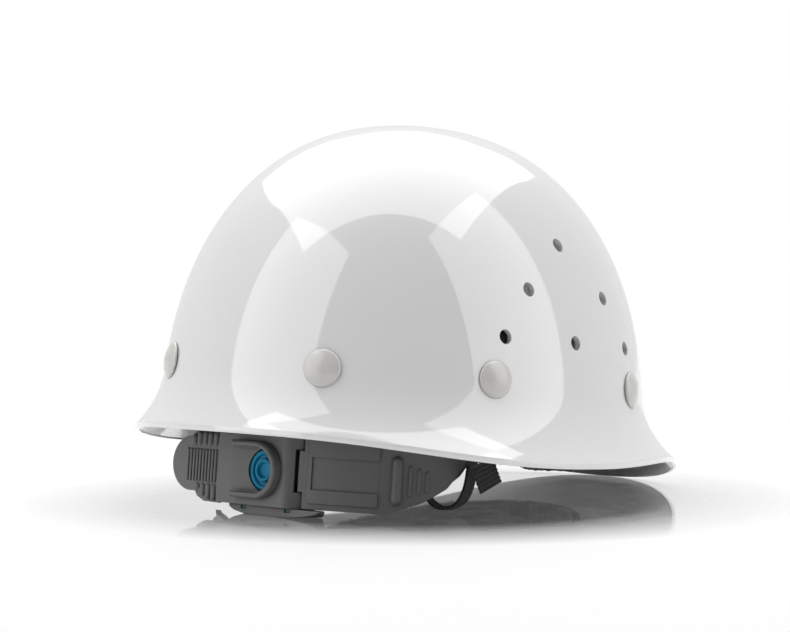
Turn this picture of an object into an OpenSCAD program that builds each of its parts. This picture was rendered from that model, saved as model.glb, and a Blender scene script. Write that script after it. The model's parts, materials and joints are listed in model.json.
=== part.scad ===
// Work safety helmet with a riveted webbing cradle, a headband and a nape adjuster with a release key.
// It stands as it does on a table, on the front of its rim and on the foot under the adjuster.
// +Z is up, -Y is the front, +X is the wearer's left, and the origin is under the middle of the box.
// Pieces are drawn in the helmet's own upright frame, whose zero is the middle of the rim's plane,
// and stand() tips that frame into its resting place. Angles round the nape run from straight
// behind (+Y) towards the wearer's right (-X).

/* [Shell] */
// Half of the shell's width above the brim
half_width = 103; // [98:0.5:108]
// Length of the shell from its middle to the forehead
front_length = 122.2; // [117:0.1:128]
// Length of the shell from its middle to the nape
rear_length = 124.3; // [119:0.1:130]
// Height of the crown over the rim's plane
crown_height = 155.5; // [150:0.5:162]
// Fullness of the shell seen from the side, where 2 is an ellipse
side_fullness = 2.28; // [2.15:0.01:2.4]
// Fullness of the shell seen from above, where 2 is an ellipse
plan_fullness = 2.29; // [2.15:0.01:2.4]
// How far the top of the crown lies behind the middle
crown_setback = 3.1; // [0:0.1:6]
// Thickness of the moulded shell
shell_wall = 2.8; // [2.2:0.1:3.4]

/* [Brim] */
// How far the brim turns out at the sides
brim_side = 12.4; // [9:0.1:15]
// How far the brim turns out at the front
brim_front = 20.9; // [17:0.1:25]
// How far the brim turns out at the back
brim_rear = 12.1; // [9:0.1:15]
// Height over the rim's plane where the brim starts to turn out
brim_height = 31.6; // [29:0.1:34]
// How late the brim turns out, as a power
brim_curl = 2.1; // [1.8:0.05:2.4]
// Height of the cut edge of the rim
edge_height = 2.7; // [2:0.1:3.4]
// Mean height of the rim
rim_mean = -1.5; // [-3:0.1:0]
// How far the rim rises to the back and falls to the front
rim_rise = 3.2; // [1:0.1:5]
// How far the rim bows down between front and back corners
rim_bow = 3.2; // [1:0.1:5]
// How far the rim waves four times round
rim_wave = 1.8; // [0:0.1:3]

/* [Rivets and vents] */
// Angle from the front to the first rivet
rivet_first = 22.5; // [20:0.5:25]
// Angle between neighbouring rivets
rivet_step = 44; // [43:0.1:45]
// Height of the rivets
rivet_height = 34.3; // [33:0.1:37]
// Radius of a rivet's domed cap
cap_radius = 8.65; // [7.5:0.05:9.5]
// Height of a rivet's domed cap
cap_height = 3.3; // [2.5:0.1:4]
// Upright edge of a rivet's cap, under its dome
cap_edge = 1; // [0.6:0.1:1.4]
// Radius of a rivet's shank
shank_radius = 2.5; // [2:0.1:3]
// Radius of the washers inside the shell
washer_radius = 6.5; // [6:0.1:6.8]
// Thickness of the washers
washer_thickness = 1.2; // [0.8:0.1:1.6]
// Radius of a vent hole
vent_radius = 3.4; // [2.5:0.1:4]
// Height of the lowest row of vents
vent_low = 54; // [52:0.5:58]
// Height from one row of vents to the next
vent_step = 22.7; // [18:0.1:24]
// Spacing of the vents in the lowest row
vent_pitch = 46; // [40:0.5:50]
// How much wider the vents stand in the middle row
vent_spread = 11; // [0:0.5:14]
// Where the rows of vents are centred, along the helmet
vent_centre = -3; // [-8:0.5:6]

/* [Cradle] */
// Width of the crown straps
strap_width = 20; // [16:1:22]
// Thickness of the crown straps
strap_thickness = 1.4; // [1:0.1:1.6]
// Height of the lowest crown strap where the straps cross
cradle_height = 112; // [104:0.5:118]
// Fullness of a crown strap's arch, where 2 is an ellipse
cradle_fullness = 2.3; // [2.2:0.05:2.4]
// Radius of the pad under the crossing
crown_pad_radius = 27; // [22:1:28]
// Thickness of the pad under the crossing
crown_pad_thickness = 6; // [5:0.5:8]
// Width of the webbing hangers
hanger_width = 14; // [12:0.5:15]

/* [Headband] */
// Radius of the band's back half, outside
band_rear_radius = 72.2; // [71:0.1:73.4]
// How far the centre of the back half lies behind the middle
band_rear_centre = 21; // [19:0.5:23]
// Radius of the band's forehead, outside
band_front_radius = 58; // [55:0.5:61]
// How far the centre of the forehead lies before the middle
band_front_centre = 44; // [42:0.5:46]
// Thickness of the headband
band_thickness = 2.2; // [1.8:0.1:2.4]
// Height of the headband's lower edge at the forehead
band_low = -6; // [-7:0.1:-4]
// Height of the headband's upper edge
band_top = 24; // [23:0.5:27]
// Thickness of the sweatband
sweat_thickness = 3.4; // [2.5:0.1:4.5]
// Thickness of the nape pad
nape_pad_thickness = 4; // [3:0.5:6]

/* [Nape arms] */
// Thickness of a nape arm
arm_thickness = 2.4; // [2:0.1:2.8]
// Height of an arm's lower edge beside the housing
arm_low = -29.7; // [-29.9:0.1:-28.5]
// Height of an arm's upper edge beside the housing
arm_high = 3; // [2:0.1:4]
// Angle where the arms end in front
arm_front = 76; // [74:0.5:77]
// Depth of the toothed strap under the arm's outer face
strap_depth = 7; // [6.8:0.1:7.2]
// Height of the toothed strap's middle
strap_mid = -12.7; // [-13:0.1:-12.4]
// Half height of the toothed strap without its teeth
strap_half = 7.4; // [6.5:0.1:7.6]
// Height of the strap's teeth
tooth_height = 1.2; // [0.8:0.1:1.4]
// Angle from one tooth to the next
tooth_pitch = 2; // [1.8:0.1:2.4]
// Angle that the arm travels as the band is let out
let_out = 30; // [20:1:30]
// Angle that the arm travels as the band is drawn in
draw_in = 0.5; // [0:0.1:0.7]
// Thickness of the raised frame round an arm's panel
frame_proud = 0.9; // [0.6:0.1:1.2]

/* [Adjuster housing] */
// How far the housing's outer face stands behind the arms
face_out = 2.5; // [2:0.1:3.4]
// Wall of the housing
case_wall = 1.8; // [1.4:0.1:2]
// Side of the housing towards the sliding arm, at its face
mouth_x = -16; // [-17:0.5:-15]
// Side of the housing towards the sliding arm, at its root
mouth_root_x = -20; // [-20.5:0.5:-19.5]
// Side of the housing towards the grip
case_x = 29; // [28:0.5:30]
// Top of the housing
case_high = 2.2; // [1.5:0.1:2.4]
// Bottom of the housing
case_low = -29.9; // [-30.2:0.1:-29.6]
// Far end of the rounded grip
grip_end = 58.9; // [57:0.1:61]
// Radius of the grip's round end
grip_radius = 12.85; // [12.5:0.05:13.4]
// Thickness of the grip
grip_thickness = 3.4; // [3:0.1:4]
// Fine ribs on the grip
rib_count = 10; // [8:1:11]
// Spacing of the fine ribs
rib_pitch = 2.05; // [1.9:0.05:2.2]
// Spacing of the thumb lobes above and below the ribs
lobe_pitch = 3.6; // [3.4:0.05:3.8]
// Width of the raised collar round the key
collar_width = 2.8; // [2:0.1:3.4]
// How far the collar stands out of the face
collar_proud = 4.4; // [3:0.1:5]
// How far the foot's lowest line lies before the housing's outer face
foot_in = 6; // [5:0.1:6.4]
// Depth of the foot's lowest line under the rim's plane
foot_depth = 34.4; // [33.8:0.1:35.4]

/* [Release key] */
// Radius of the key
key_radius = 9.3; // [8.8:0.1:9.8]
// How far the key's rim lies behind the housing's outer face
key_recess = 2.7; // [2.4:0.1:3]
// How far the key's inner ring stands before its rim
ring_proud = 1.1; // [0.6:0.1:1.4]
// Travel of the key when it is pressed
key_travel = 2.4; // [2:0.1:2.5]
// Gap round the key in the housing
key_gap = 0.35; // [0.3:0.05:0.5]
// Radius of the springs behind the key
spring_radius = 2.1; // [1.8:0.1:2.3]
// Wire of the springs
spring_wire = 0.5; // [0.4:0.05:0.6]

/* [Chin strap] */
// Width of the chin webbing
chin_width = 14; // [12:0.5:15]
// Thickness of the chin webbing
chin_thickness = 1.3; // [1:0.1:1.5]
// Angle of the chin strap's studs on the headband
chin_angle = 86; // [85.5:0.5:88]

/* [Hidden] */
// Faces of round parts, of thin round parts and of faceted shapes
fine = 96;
small = 32;
// Steps round the shell and up its outer and inner skins
around = 72;
up_outer = 24;
up_inner = 12;
// Gap between pieces that lie on each other, and between webbing and the curved wall
seat_gap = 0.3;
wall_gap = 1.1;
// Clearance of a hole round its rivet, and between the arms and the band
hole_gap = 0.1;
lap_gap = 0.4;
// The layers that a rivet holds, counted inwards from the shell's inner skin
strap_layer = wall_gap + strap_thickness / 2;
hanger_layer = strap_layer + strap_thickness + 0.2;
washer_layer = hanger_layer + strap_thickness / 2 + 0.5;
rivet_count = 4;
// The order in which the crown straps lie on each other, and the room between them
strap_order = [2, 0, 1, 3];
strap_room = 0.9;
// How far a crown strap and a hanger follow the wall up and down from their rivet
strap_lie = 11;
hanger_lie = 9;
// Radii of the nape's layers, from the outside of the arms inwards
arm_inner = band_rear_radius + lap_gap;
arm_outer = arm_inner + arm_thickness;
strap_outer = arm_outer - strap_depth;
strap_inner = strap_outer - 2;
plate_outer = strap_inner - 1.5;
plate_inner = plate_outer - 2;
band_inner = band_rear_radius - band_thickness;
// The housing's outer face behind the middle, and where its sides end inside
face_y = band_rear_centre + arm_outer + face_out;
case_root = face_y - 28.5;
// Where the webbing hangers end and bend, and the studs that hold them on the band
hanger_low = 12;
hanger_bend = 23;
stud_radius = 2;
stud_height = 15.8;
// Angles where the sliding arm steps down to its strap, where the fixed arm starts at the housing,
// where the strap ends beyond the housing, and where the headband's ends start clear of the step
// when the arm is let out
arm_step = asin((0.6 - mouth_root_x) / arm_inner) + draw_in;
left_step = asin((case_x + 1.1) / arm_inner);
// Angles where the back plate of the housing ends
plate_left = -28;
plate_right = arm_step + 0.6;
strap_end = let_out + 3;
lap_back = arm_step + let_out + 2;
// Where the sweatband ends
sweat_back = -8;
// Outline of a nape arm seen from the side, as [y, z], and the height of its top in front
arm_top = 9.5;
arm_rear = band_rear_centre + arm_outer + 4;
arm_side = [[arm_rear, arm_low], [72.8, arm_low], [70, arm_low + 0.8], [67, -27], [59.5, -23.9],
    [53.8, -20.4], [48, -16.5], [44.4, -11.8], [40.9, -6.6], [36, -1], [30, 3], [30, arm_top],
    [50, arm_top], [62, 7], [76, arm_high], [arm_rear, arm_high]];
// Where an arm's framed panel, its grip bar and its ridges lie, as angles from the back
panel_back = arm_step + 2;
left_panel_back = left_step + 1.5;
panel_front = 44;
grip_angle = 50.3;
bar_radius = 2.4;
ridge_angles = [55, 58.2, 61.2];
// Pins that hold the left arm on the headband
ear_angles = [60, 88];
pin_radius = 2.2;
// Half heights of the mouth for the sliding strap and of the step that enters it
mouth_half = 9.8;
step_half = 9.3;
// Rounding of the housing's edge over the mouth, and the middle of the key
case_round = 5;
key_mid = strap_mid - 0.8;
// Thicker wall round the key, into which a ramp for the thumb runs down from the grip
key_pad = 1.3;
ramp_depth = 2.3;
ramp_start = 19;
// Room between the key's hole and the collar
collar_gap = 0.75;
// The foot under the housing, and its windows onto the legs of the carriage
foot_windows = [case_x - 15.4, mouth_x + 1.6];
leg_width = 3.6;
leg_drop = 1.9;
foot_bottom = -foot_depth - 0.6;
foot_top = case_low - seat_gap;
foot_y = face_y - foot_in;
foot_front = foot_y + 1.6;
foot_back = foot_y - 10;
spring_turns = 5;
// Where the chin webbing lies on the band, the slider and the size of the buckle
chin_stud_height = 18.7;
chin_lie = band_rear_radius + seat_gap + chin_thickness / 2;
tangent = [cos(chin_angle), sin(chin_angle), 0];
slider_turn = 56;
slider_across = [cos(slider_turn), sin(slider_turn), 0];
slider_way = [-sin(slider_turn), cos(slider_turn), 0];
slider_place = nape(80.2, band_rear_radius + 12, 0.6);
buckle_width = 21;
buckle_length = 26;
buckle_thickness = 7;
// The stowed buckle: its prongs' width, and the radius and height of the webbing's end in the plug
prong = 3;
plug_radius = band_rear_radius - 8.2;
plug_height = 7.7;
// The key's layers along Y
key_back = face_y - case_wall - key_pad - 1.8;
carriage_front = key_back - 0.05;
carriage_back = carriage_front - 1.8;
// Where the front of the rim and the foot touch the ground, and what tips the helmet onto them
rim_front = brim_point(270, rim_z(270) + edge_height);
tip = atan((rim_z(270) + foot_depth) / (foot_y - rim_front[1]));
lift = foot_depth * cos(tip) - foot_y * sin(tip);
rim_back = brim_point(90, rim_z(90) + edge_height);
front_reach = rim_front[1] * cos(tip) - (rim_z(270) + edge_height) * sin(tip);
back_reach = rim_back[1] * cos(tip) - rim_z(90) * sin(tip);
centring = -(front_reach + back_reach) / 2;

function clamp(v, low, high) = max(low, min(v, high));
function signed_power(v, e) = sign(v) * pow(abs(v), e);
function unit(v) = v / norm(v);
function rim_z(a) = rim_mean + rim_rise * sin(a) - rim_bow * sin(3 * a) - rim_wave * cos(4 * a);
// Share of the plan's size that is left at a height
function dome_share(z) = pow(1 - pow(clamp(z / crown_height, 0, 0.99999), side_fullness), 1 / side_fullness);
function brim_reach(a) = brim_side * pow(cos(a), 2) + (sin(a) > 0 ? brim_rear : brim_front) * pow(sin(a), 2);
// Point of the outer skin at a plan angle and a height, before the rim's edge is made upright
function skin(a, z) = let(
    share = dome_share(z),
    out = brim_reach(a) * pow(clamp((brim_height - z) / brim_height, 0, 1.5), brim_curl),
    depth = sin(a) > 0 ? rear_length : front_length)
    [half_width * share * signed_power(cos(a), 2 / plan_fullness) + out * cos(a),
     depth * share * signed_power(sin(a), 2 / plan_fullness) + out * sin(a)
         + crown_setback * clamp(z / crown_height, 0, 1), z];
function edge_drop(z) = edge_height * pow(clamp((brim_height - z) / brim_height, 0, 1), 2);
function brim_point(a, z) = let(p = skin(a, z - edge_drop(z))) [p[0], p[1], z];
function skin_normal(a, z) = unit(cross(brim_point(a + 0.5, z) - brim_point(a - 0.5, z),
    brim_point(a, z) - brim_point(a, z - 0.4)));
// Point under the outer skin, square to it
function under(a, z, d) = brim_point(a, z) - d * skin_normal(a, z);
function level(a, t) = let(low = rim_z(a) + edge_height)
    low + (0.9995 * crown_height - low) * (1 - pow(1 - t, 2.2));
function rivet_angle(k, side) = 270 - side * (rivet_first + k * rivet_step);
// Plan angle on the wearer's right of a point of the skin at a height and a distance along the helmet
function side_angle(y, z) = let(
    q = y - crown_setback * z / crown_height,
    depth = (q > 0 ? rear_length : front_length) * dome_share(z))
    180 - asin(signed_power(q / depth, plan_fullness / 2));
function mirrored(p) = [-p[0], p[1], p[2]];
// Point of the nape at an angle, a radius and a height
function nape(a, r, z) = [-r * sin(a), band_rear_centre + r * cos(a), z];
// Angle from the back at which the band's side leaves the back half
band_turn = 90 + asin((band_rear_radius - band_front_radius) / (band_rear_centre + band_front_centre));
// Outline of the headband in plan, moved outwards by d
function band_plan(d) = concat(
    [for (a = [-band_turn : band_turn / 30 : band_turn + 0.01])
        [(band_rear_radius + d) * sin(-a), band_rear_centre + (band_rear_radius + d) * cos(a)]],
    [for (a = [band_turn : (180 - band_turn) / 15 : 360 - band_turn + 0.01])
        [(band_front_radius + d) * sin(-a), -band_front_centre + (band_front_radius + d) * cos(a)]]);
// Nearest point of the headband's outside to a point outside it, with the way out, for x below zero
function band_near(p) = let(
    back = [0, band_rear_centre],
    front = [0, -band_front_centre],
    q = [p[0], p[1]],
    rear_way = atan2(-p[0], p[1] - band_rear_centre),
    front_way = atan2(-p[0], p[1] + band_front_centre),
    out = rear_way <= band_turn ? unit(q - back)
        : front_way >= band_turn ? unit(q - front) : [-sin(band_turn), cos(band_turn)],
    start = back + band_rear_radius * [-sin(band_turn), cos(band_turn)],
    run = [cos(band_turn), sin(band_turn)],
    foot = rear_way <= band_turn ? back + band_rear_radius * out
        : front_way >= band_turn ? front + band_front_radius * out
        : start + ((q - start) * run) * run)
    [foot, out];

module stand() {
    translate([0, centring, lift]) rotate([tip, 0, 0]) children();
}
module both_sides() {
    children();
    mirror([1, 0, 0]) children();
}
// Puts its child on the outer skin, with +Z pointing out
module on_skin(a, z, d = 0) {
    n = skin_normal(a, z);
    translate(brim_point(a, z) - d * n) rotate([0, acos(n[2]), atan2(n[1], n[0])]) children();
}
// Puts its child on the nape's circle, with +Z up and +X pointing out
module on_nape(a, r, z) {
    translate(nape(a, r, z)) rotate([0, 0, 90 + a]) children();
}
// A curved plate round the nape
module arc(r0, r1, a0, a1, z0, z1) {
    translate([0, band_rear_centre, 0]) rotate([0, 0, 90 + a0])
        rotate_extrude(angle = a1 - a0, $fn = fine) translate([r0, z0]) square([r1 - r0, z1 - z0]);
}
// A bar along +Z with round ends
module capsule(r, length) {
    translate([0, 0, r]) cylinder(r = r, h = length - 2 * r, $fn = small);
    translate([0, 0, r]) sphere(r = r, $fn = small);
    translate([0, 0, length - r]) sphere(r = r, $fn = small);
}
// A flat strap through a list of points, with a list of the ways across it
module ribbon(points, across, width, thickness) {
    last = len(points) - 1;
    way = [for (i = [0 : last]) unit(points[min(i + 1, last)] - points[max(i - 1, 0)])];
    wide = [for (i = [0 : last]) unit(across[i] - (across[i] * way[i]) * way[i])];
    thick = [for (i = [0 : last]) cross(way[i], wide[i])];
    corners = [for (i = [0 : last], c = [[-1, -1], [1, -1], [1, 1], [-1, 1]])
        points[i] + c[0] * width / 2 * wide[i] + c[1] * thickness / 2 * thick[i]];
    polyhedron(corners, concat([[0, 1, 2], [0, 2, 3]],
        [for (i = [0 : last - 1], k = [0 : 3]) each let(a = 4 * i + k, b = 4 * i + (k + 1) % 4)
            [[a, a + 4, b + 4], [a, b + 4, b]]],
        [[4 * last, 4 * last + 2, 4 * last + 1], [4 * last, 4 * last + 3, 4 * last + 2]]));
}

// The shell: a moulded dome with a turned-out brim, holes for eight rivets and twelve vents
module shell_body() {
    outer = [for (j = [0 : up_outer], i = [0 : around - 1]) let(a = i * 360 / around)
        brim_point(a, level(a, j / up_outer))];
    inner = [for (j = [0 : up_inner], i = [0 : around - 1]) let(a = i * 360 / around)
        under(a, level(a, j / up_inner), shell_wall)];
    lip_out = [for (i = [0 : around - 1]) let(a = i * 360 / around) [outer[i][0], outer[i][1], rim_z(a)]];
    lip_in = [for (i = [0 : around - 1]) let(a = i * 360 / around) [inner[i][0], inner[i][1], rim_z(a)]];
    top = [[0, crown_setback, crown_height], [0, crown_setback, crown_height - shell_wall]];
    first_inner = around * (up_outer + 2);
    top_outer = first_inner + around * (up_inner + 2);
    function next(i) = (i + 1) % around;
    polyhedron(concat(lip_out, outer, lip_in, inner, top), concat(
        [for (j = [0 : up_outer], i = [0 : around - 1]) each
            let(a = j * around + i, b = j * around + next(i)) [[a, a + around, b + around], [a, b + around, b]]],
        [for (i = [0 : around - 1]) let(r = (up_outer + 1) * around) [r + i, top_outer, r + next(i)]],
        [for (j = [0 : up_inner], i = [0 : around - 1]) each
            let(a = first_inner + j * around + i, b = first_inner + j * around + next(i))
                [[a, b + around, a + around], [a, b, b + around]]],
        [for (i = [0 : around - 1]) let(r = first_inner + (up_inner + 1) * around)
            [r + i, r + next(i), top_outer + 1]],
        [for (i = [0 : around - 1]) each
            [[i, next(i), first_inner + next(i)], [i, first_inner + next(i), first_inner + i]]]));
}
module vent_hole(row, i) {
    z = vent_low + row * vent_step;
    y = vent_centre + (i - (2 - row) / 2) * (vent_pitch + row * vent_spread);
    on_skin(side_angle(y, z), z, 3 * shell_wall) cylinder(r = vent_radius, h = 6 * shell_wall, $fn = small);
}
module shell() {
    color("white") stand() difference() {
        shell_body();
        for (k = [0 : rivet_count - 1], side = [-1, 1])
            on_skin(rivet_angle(k, side), rivet_height, 3 * shell_wall)
                cylinder(r = shank_radius + hole_gap, h = 6 * shell_wall, $fn = small);
        // Flat seats for the rivets' caps, where the brim starts to turn out
        for (k = [0 : rivet_count - 1], side = [-1, 1]) on_skin(rivet_angle(k, side), rivet_height)
            cylinder(r = cap_radius + hole_gap, h = 6, $fn = small);
        both_sides() for (row = [0 : 2], i = [0 : 2 - row]) vent_hole(row, i);
    }
}

// A rivet: low domed cap outside, shank through the layers, and a peened head on the washer
module rivet() {
    rise = cap_height - cap_edge;
    dome_radius = (pow(cap_radius, 2) + pow(rise, 2)) / (2 * rise);
    end = shell_wall + washer_layer + washer_thickness;
    rotate_extrude($fn = fine) intersection() {
        translate([0, cap_height - dome_radius]) circle(r = dome_radius, $fn = fine);
        square([cap_radius, cap_height]);
    }
    translate([0, 0, -end - 0.5]) cylinder(r = shank_radius, h = end + 1, $fn = small);
    translate([0, 0, -end - 1.3]) cylinder(r = shank_radius * 1.6, h = 1.3, $fn = small);
}
module rivets() {
    color("ivory") stand() for (k = [0 : rivet_count - 1], side = [-1, 1])
        on_skin(rivet_angle(k, side), rivet_height) rivet();
}
module rivet_washers() {
    color("silver") stand() for (k = [0 : rivet_count - 1], side = [-1, 1])
        on_skin(rivet_angle(k, side), rivet_height, shell_wall + washer_layer + washer_thickness)
            difference() {
                cylinder(r = washer_radius, h = washer_thickness, $fn = small);
                translate([0, 0, -1])
                    cylinder(r = shank_radius + hole_gap, h = washer_thickness + 2, $fn = small);
            }
}

// A crown strap runs up the wall from one rivet, over the head and down to the rivet across from it
module crown_strap(k) {
    first = rivet_angle(k, 1);
    second = rivet_angle(rivet_count - 1 - k, -1);
    depth = shell_wall + strap_layer;
    heights = [rivet_height - strap_lie, rivet_height, rivet_height + strap_lie];
    start = [for (z = heights) under(first, z, depth)];
    end = [for (i = [2 : -1 : 0]) under(second, heights[i], depth)];
    foot = start[2];
    far = end[0];
    top = cradle_height + strap_order[k] * (strap_thickness + strap_room);
    // The arch is part of a fuller ellipse that stands on the rim's plane and passes through both feet
    leave = asin(pow(foot[2] / top, cradle_fullness / 2));
    spread = 1 / signed_power(cos(leave), 2 / cradle_fullness);
    turn_steps = 18;
    swing = (180 - 2 * leave) / turn_steps;
    angles = [for (i = [1 : turn_steps - 1]) leave + i * swing];
    arch = [for (a = angles) let(m = (foot + far) / 2
        + (foot - far) / 2 * spread * signed_power(cos(a), 2 / cradle_fullness))
        [m[0], m[1], top * pow(sin(a), 2 / cradle_fullness)]];
    span = unit(foot - far);
    n1 = skin_normal(first, rivet_height);
    n2 = skin_normal(second, rivet_height);
    level_way = [-span[1], span[0], 0];
    way1 = unit([-n1[1], n1[0], 0]);
    way2 = unit([n2[1], -n2[0], 0]);
    turns = [for (a = angles) let(m = pow(sin(90 * (1 - abs(a - 90) / (90 - leave))), 0.5))
        (a < 90 ? way1 : way2) * (1 - m) + level_way * m];
    difference() {
        ribbon(concat(start, arch, end), concat([way1, way1, way1], turns, [way2, way2, way2]),
            strap_width, strap_thickness);
        for (a = [first, second]) on_skin(a, rivet_height, depth + 4)
            cylinder(r = shank_radius + hole_gap, h = 8, $fn = small);
    }
}
module crown_strap_1() { color("dimgray") stand() crown_strap(0); }
module crown_strap_2() { color("dimgray") stand() crown_strap(1); }
module crown_strap_3() { color("dimgray") stand() crown_strap(2); }
module crown_strap_4() { color("dimgray") stand() crown_strap(3); }
// The round pad that is sewn under the crossing
module crown_pad() {
    edge = crown_pad_thickness / 2;
    color("black") stand() translate([0, crown_setback, cradle_height - strap_thickness / 2 - 2.8 - edge])
        rotate_extrude($fn = fine) {
            translate([0, -edge]) square([crown_pad_radius - edge, 2 * edge]);
            translate([crown_pad_radius - edge, 0]) intersection() {
                circle(r = edge, $fn = small);
                translate([0, -edge]) square(2 * edge);
            }
        }
}

// Webbing hangers from the rivets of the front, sides and back corners to the headband
module hanger(k) {
    a = rivet_angle(k, 1);
    depth = shell_wall + hanger_layer;
    near = band_near(under(a, rivet_height, depth));
    lie = strap_thickness / 2 + seat_gap;
    top = [for (z = [rivet_height + hanger_lie, rivet_height, rivet_height - hanger_lie + 0.5])
        under(a, z, depth)];
    function by_band(d, z) = [near[0][0] + (lie + d) * near[1][0], near[0][1] + (lie + d) * near[1][1], z];
    low = [by_band(2.5, hanger_bend + 2), by_band(0, hanger_bend - 2), by_band(0, hanger_low)];
    n = skin_normal(a, rivet_height);
    wall_way = unit([-n[1], n[0], 0]);
    band_way = [-near[1][1], near[1][0], 0];
    difference() {
        ribbon(concat(top, low), [wall_way, wall_way, wall_way, band_way, band_way, band_way],
            hanger_width, strap_thickness);
        on_skin(a, rivet_height, depth + 3) cylinder(r = shank_radius + hole_gap, h = 6, $fn = small);
        hanger_stud(k, stud_radius + hole_gap, 4, 6);
    }
}
module strap_hangers() {
    color("dimgray") stand() both_sides() for (k = [0 : 2]) hanger(k);
}
// A round bar through the headband at a hanger, reaching in and out from the band's outside
module hanger_stud(k, r, inwards, outwards) {
    near = band_near(under(rivet_angle(k, 1), rivet_height, shell_wall + hanger_layer));
    translate([near[0][0], near[0][1], stud_height]) rotate([0, 90, atan2(near[1][1], near[1][0])])
        translate([0, 0, -inwards]) cylinder(r = r, h = inwards + outwards, $fn = small);
}
module stud(k) {
    cover = strap_thickness + 2 * seat_gap;
    hanger_stud(k, stud_radius, band_thickness + 0.5, cover + 0.5);
    hanger_stud(k, 2 * stud_radius, -cover, cover + 1.2);
    hanger_stud(k, 1.5 * stud_radius, band_thickness + 0.9, -band_thickness - 0.1);
}
module band_studs() {
    color("dimgray") stand() both_sides() for (k = [0 : 2]) stud(k);
}

// The headband: a moulded strip round the forehead and temples, whose ends lie inside the nape arms
module headband() {
    lap_y = band_rear_centre + band_inner * cos(lap_back);
    front_y = -band_front_centre - band_front_radius - 5;
    side = [[front_y, band_low], [26, band_low + 3], [33.5, -3], [39.4, -10.5], [44.5, -14.5], [lap_y, -14.5],
        [lap_y, 8], [56, 13], [47, band_top], [front_y, band_top]];
    color("#4a4a4c") stand() difference() {
        intersection() {
            translate([0, 0, -20]) linear_extrude(60) difference() {
                polygon(band_plan(0));
                polygon(band_plan(-band_thickness));
            }
            rotate([90, 0, 90]) translate([0, 0, -100]) linear_extrude(200) polygon(side);
        }
        both_sides() {
            for (k = [0 : 2]) hanger_stud(k, stud_radius + hole_gap, 8, 4);
            chin_stud_at(stud_radius + hole_gap, 8, 4);
        }
        mirror([1, 0, 0]) for (a = ear_angles) ear_pin_at(a, pin_radius + hole_gap, 8, 8);
    }
}
// The towelling sweatband inside the forehead
module sweatband() {
    color("#1c1c1e") stand() intersection() {
        translate([0, 0, band_low - 1.3]) linear_extrude(band_top - band_low + 2) difference() {
            polygon(band_plan(-band_thickness - 1));
            polygon(band_plan(-band_thickness - 1 - sweat_thickness));
        }
        translate([-100, -150, -50]) cube([200, 150 + sweat_back, 100]);
    }
}

module ear_pin_at(a, r, inwards, outwards) {
    on_nape(a, band_rear_radius, 4) rotate([0, 90, 0]) translate([0, 0, -inwards])
        cylinder(r = r, h = inwards + outwards, $fn = small);
}
module arm_plate(back, front, profile) {
    intersection() {
        arc(arm_inner, arm_outer, back, front, -40, 30);
        rotate([90, 0, -90]) linear_extrude(100) polygon([for (p = profile) [-p[0], p[1]]]);
    }
}
// The raised frame round the panel, which fades out towards the front
module panel_frame(back) {
    difference() {
        arc(arm_outer - 0.5, arm_outer + frame_proud, back, panel_front, arm_low + 2.9, arm_high - 1.2);
        arc(arm_outer + 0.1, arm_outer + frame_proud + 1, back + 1.4, panel_front + 2, -20.6, -5.7);
    }
}
module grip_bar() {
    on_nape(grip_angle, arm_outer + 0.1, -25.4) capsule(bar_radius, 22.4);
    for (i = [0 : 2]) on_nape(ridge_angles[i], arm_outer - 0.1, -21 + i) capsule(0.9, 14 - 2 * i);
}
// Outline of the toothed strap seen from behind, as [x, z], with square teeth along both edges
function strap_edge(side) = [for (a = [1 - strap_end : tooth_pitch : 9.5]) each
    let(low = side * strap_half, high = side * (strap_half + tooth_height))
        [[-strap_inner * sin(a), low], [-strap_inner * sin(a), high],
         [-strap_inner * sin(a + tooth_pitch / 2), high], [-strap_inner * sin(a + tooth_pitch / 2), low]]];
module toothed_strap() {
    near = -strap_inner * sin(arm_step - 1);
    upper = strap_edge(1);
    lower = strap_edge(-1);
    outline = concat([[40, strap_half]], upper, [[near, strap_half], [near, -strap_half]],
        [for (i = [len(lower) - 1 : -1 : 0]) lower[i]], [[40, -strap_half]]);
    intersection() {
        arc(strap_inner, strap_outer, -strap_end, arm_step + 2, -40, 10);
        translate([0, 0, strap_mid]) rotate([90, 0, 0]) translate([0, 0, -150]) linear_extrude(150)
            polygon(outline);
    }
}
module right_arm() {
    color("#555556") stand() {
        arm_plate(arm_step, arm_front, arm_side);
        panel_frame(panel_back);
        grip_bar();
        arc(strap_inner, arm_outer - 0.2, arm_step - 2, arm_step + 0.5,
            strap_mid - step_half, strap_mid + step_half);
        toothed_strap();
    }
}
// The fixed arm on the wearer's left is pinned to the headband and held in the housing
module left_arm() {
    profile = concat([for (i = [0 : 7]) arm_side[i]], [[35.5, -3], [10, -3], [10, arm_top]],
        [for (i = [12 : 15]) arm_side[i]]);
    color("#555556") stand() mirror([1, 0, 0]) difference() {
        union() {
            arm_plate(left_step, 96, profile);
            arc(arm_inner + 0.3, arm_outer - 0.3, left_step - 7, left_step + 1,
                strap_mid - step_half, strap_mid + step_half);
            panel_frame(left_panel_back);
            grip_bar();
        }
        for (a = ear_angles) ear_pin_at(a, pin_radius + hole_gap, 4, 8);
    }
}
module ear_pins() {
    cover = lap_gap + arm_thickness;
    color("#3c3c3e") stand() mirror([1, 0, 0]) for (a = ear_angles) {
        ear_pin_at(a, pin_radius, band_thickness + 0.6, cover + 0.6);
        ear_pin_at(a, 2 * pin_radius, -cover - 0.1, cover + 1.2);
        ear_pin_at(a, 1.6 * pin_radius, band_thickness + 1.2, -band_thickness - 0.2);
    }
}

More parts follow.
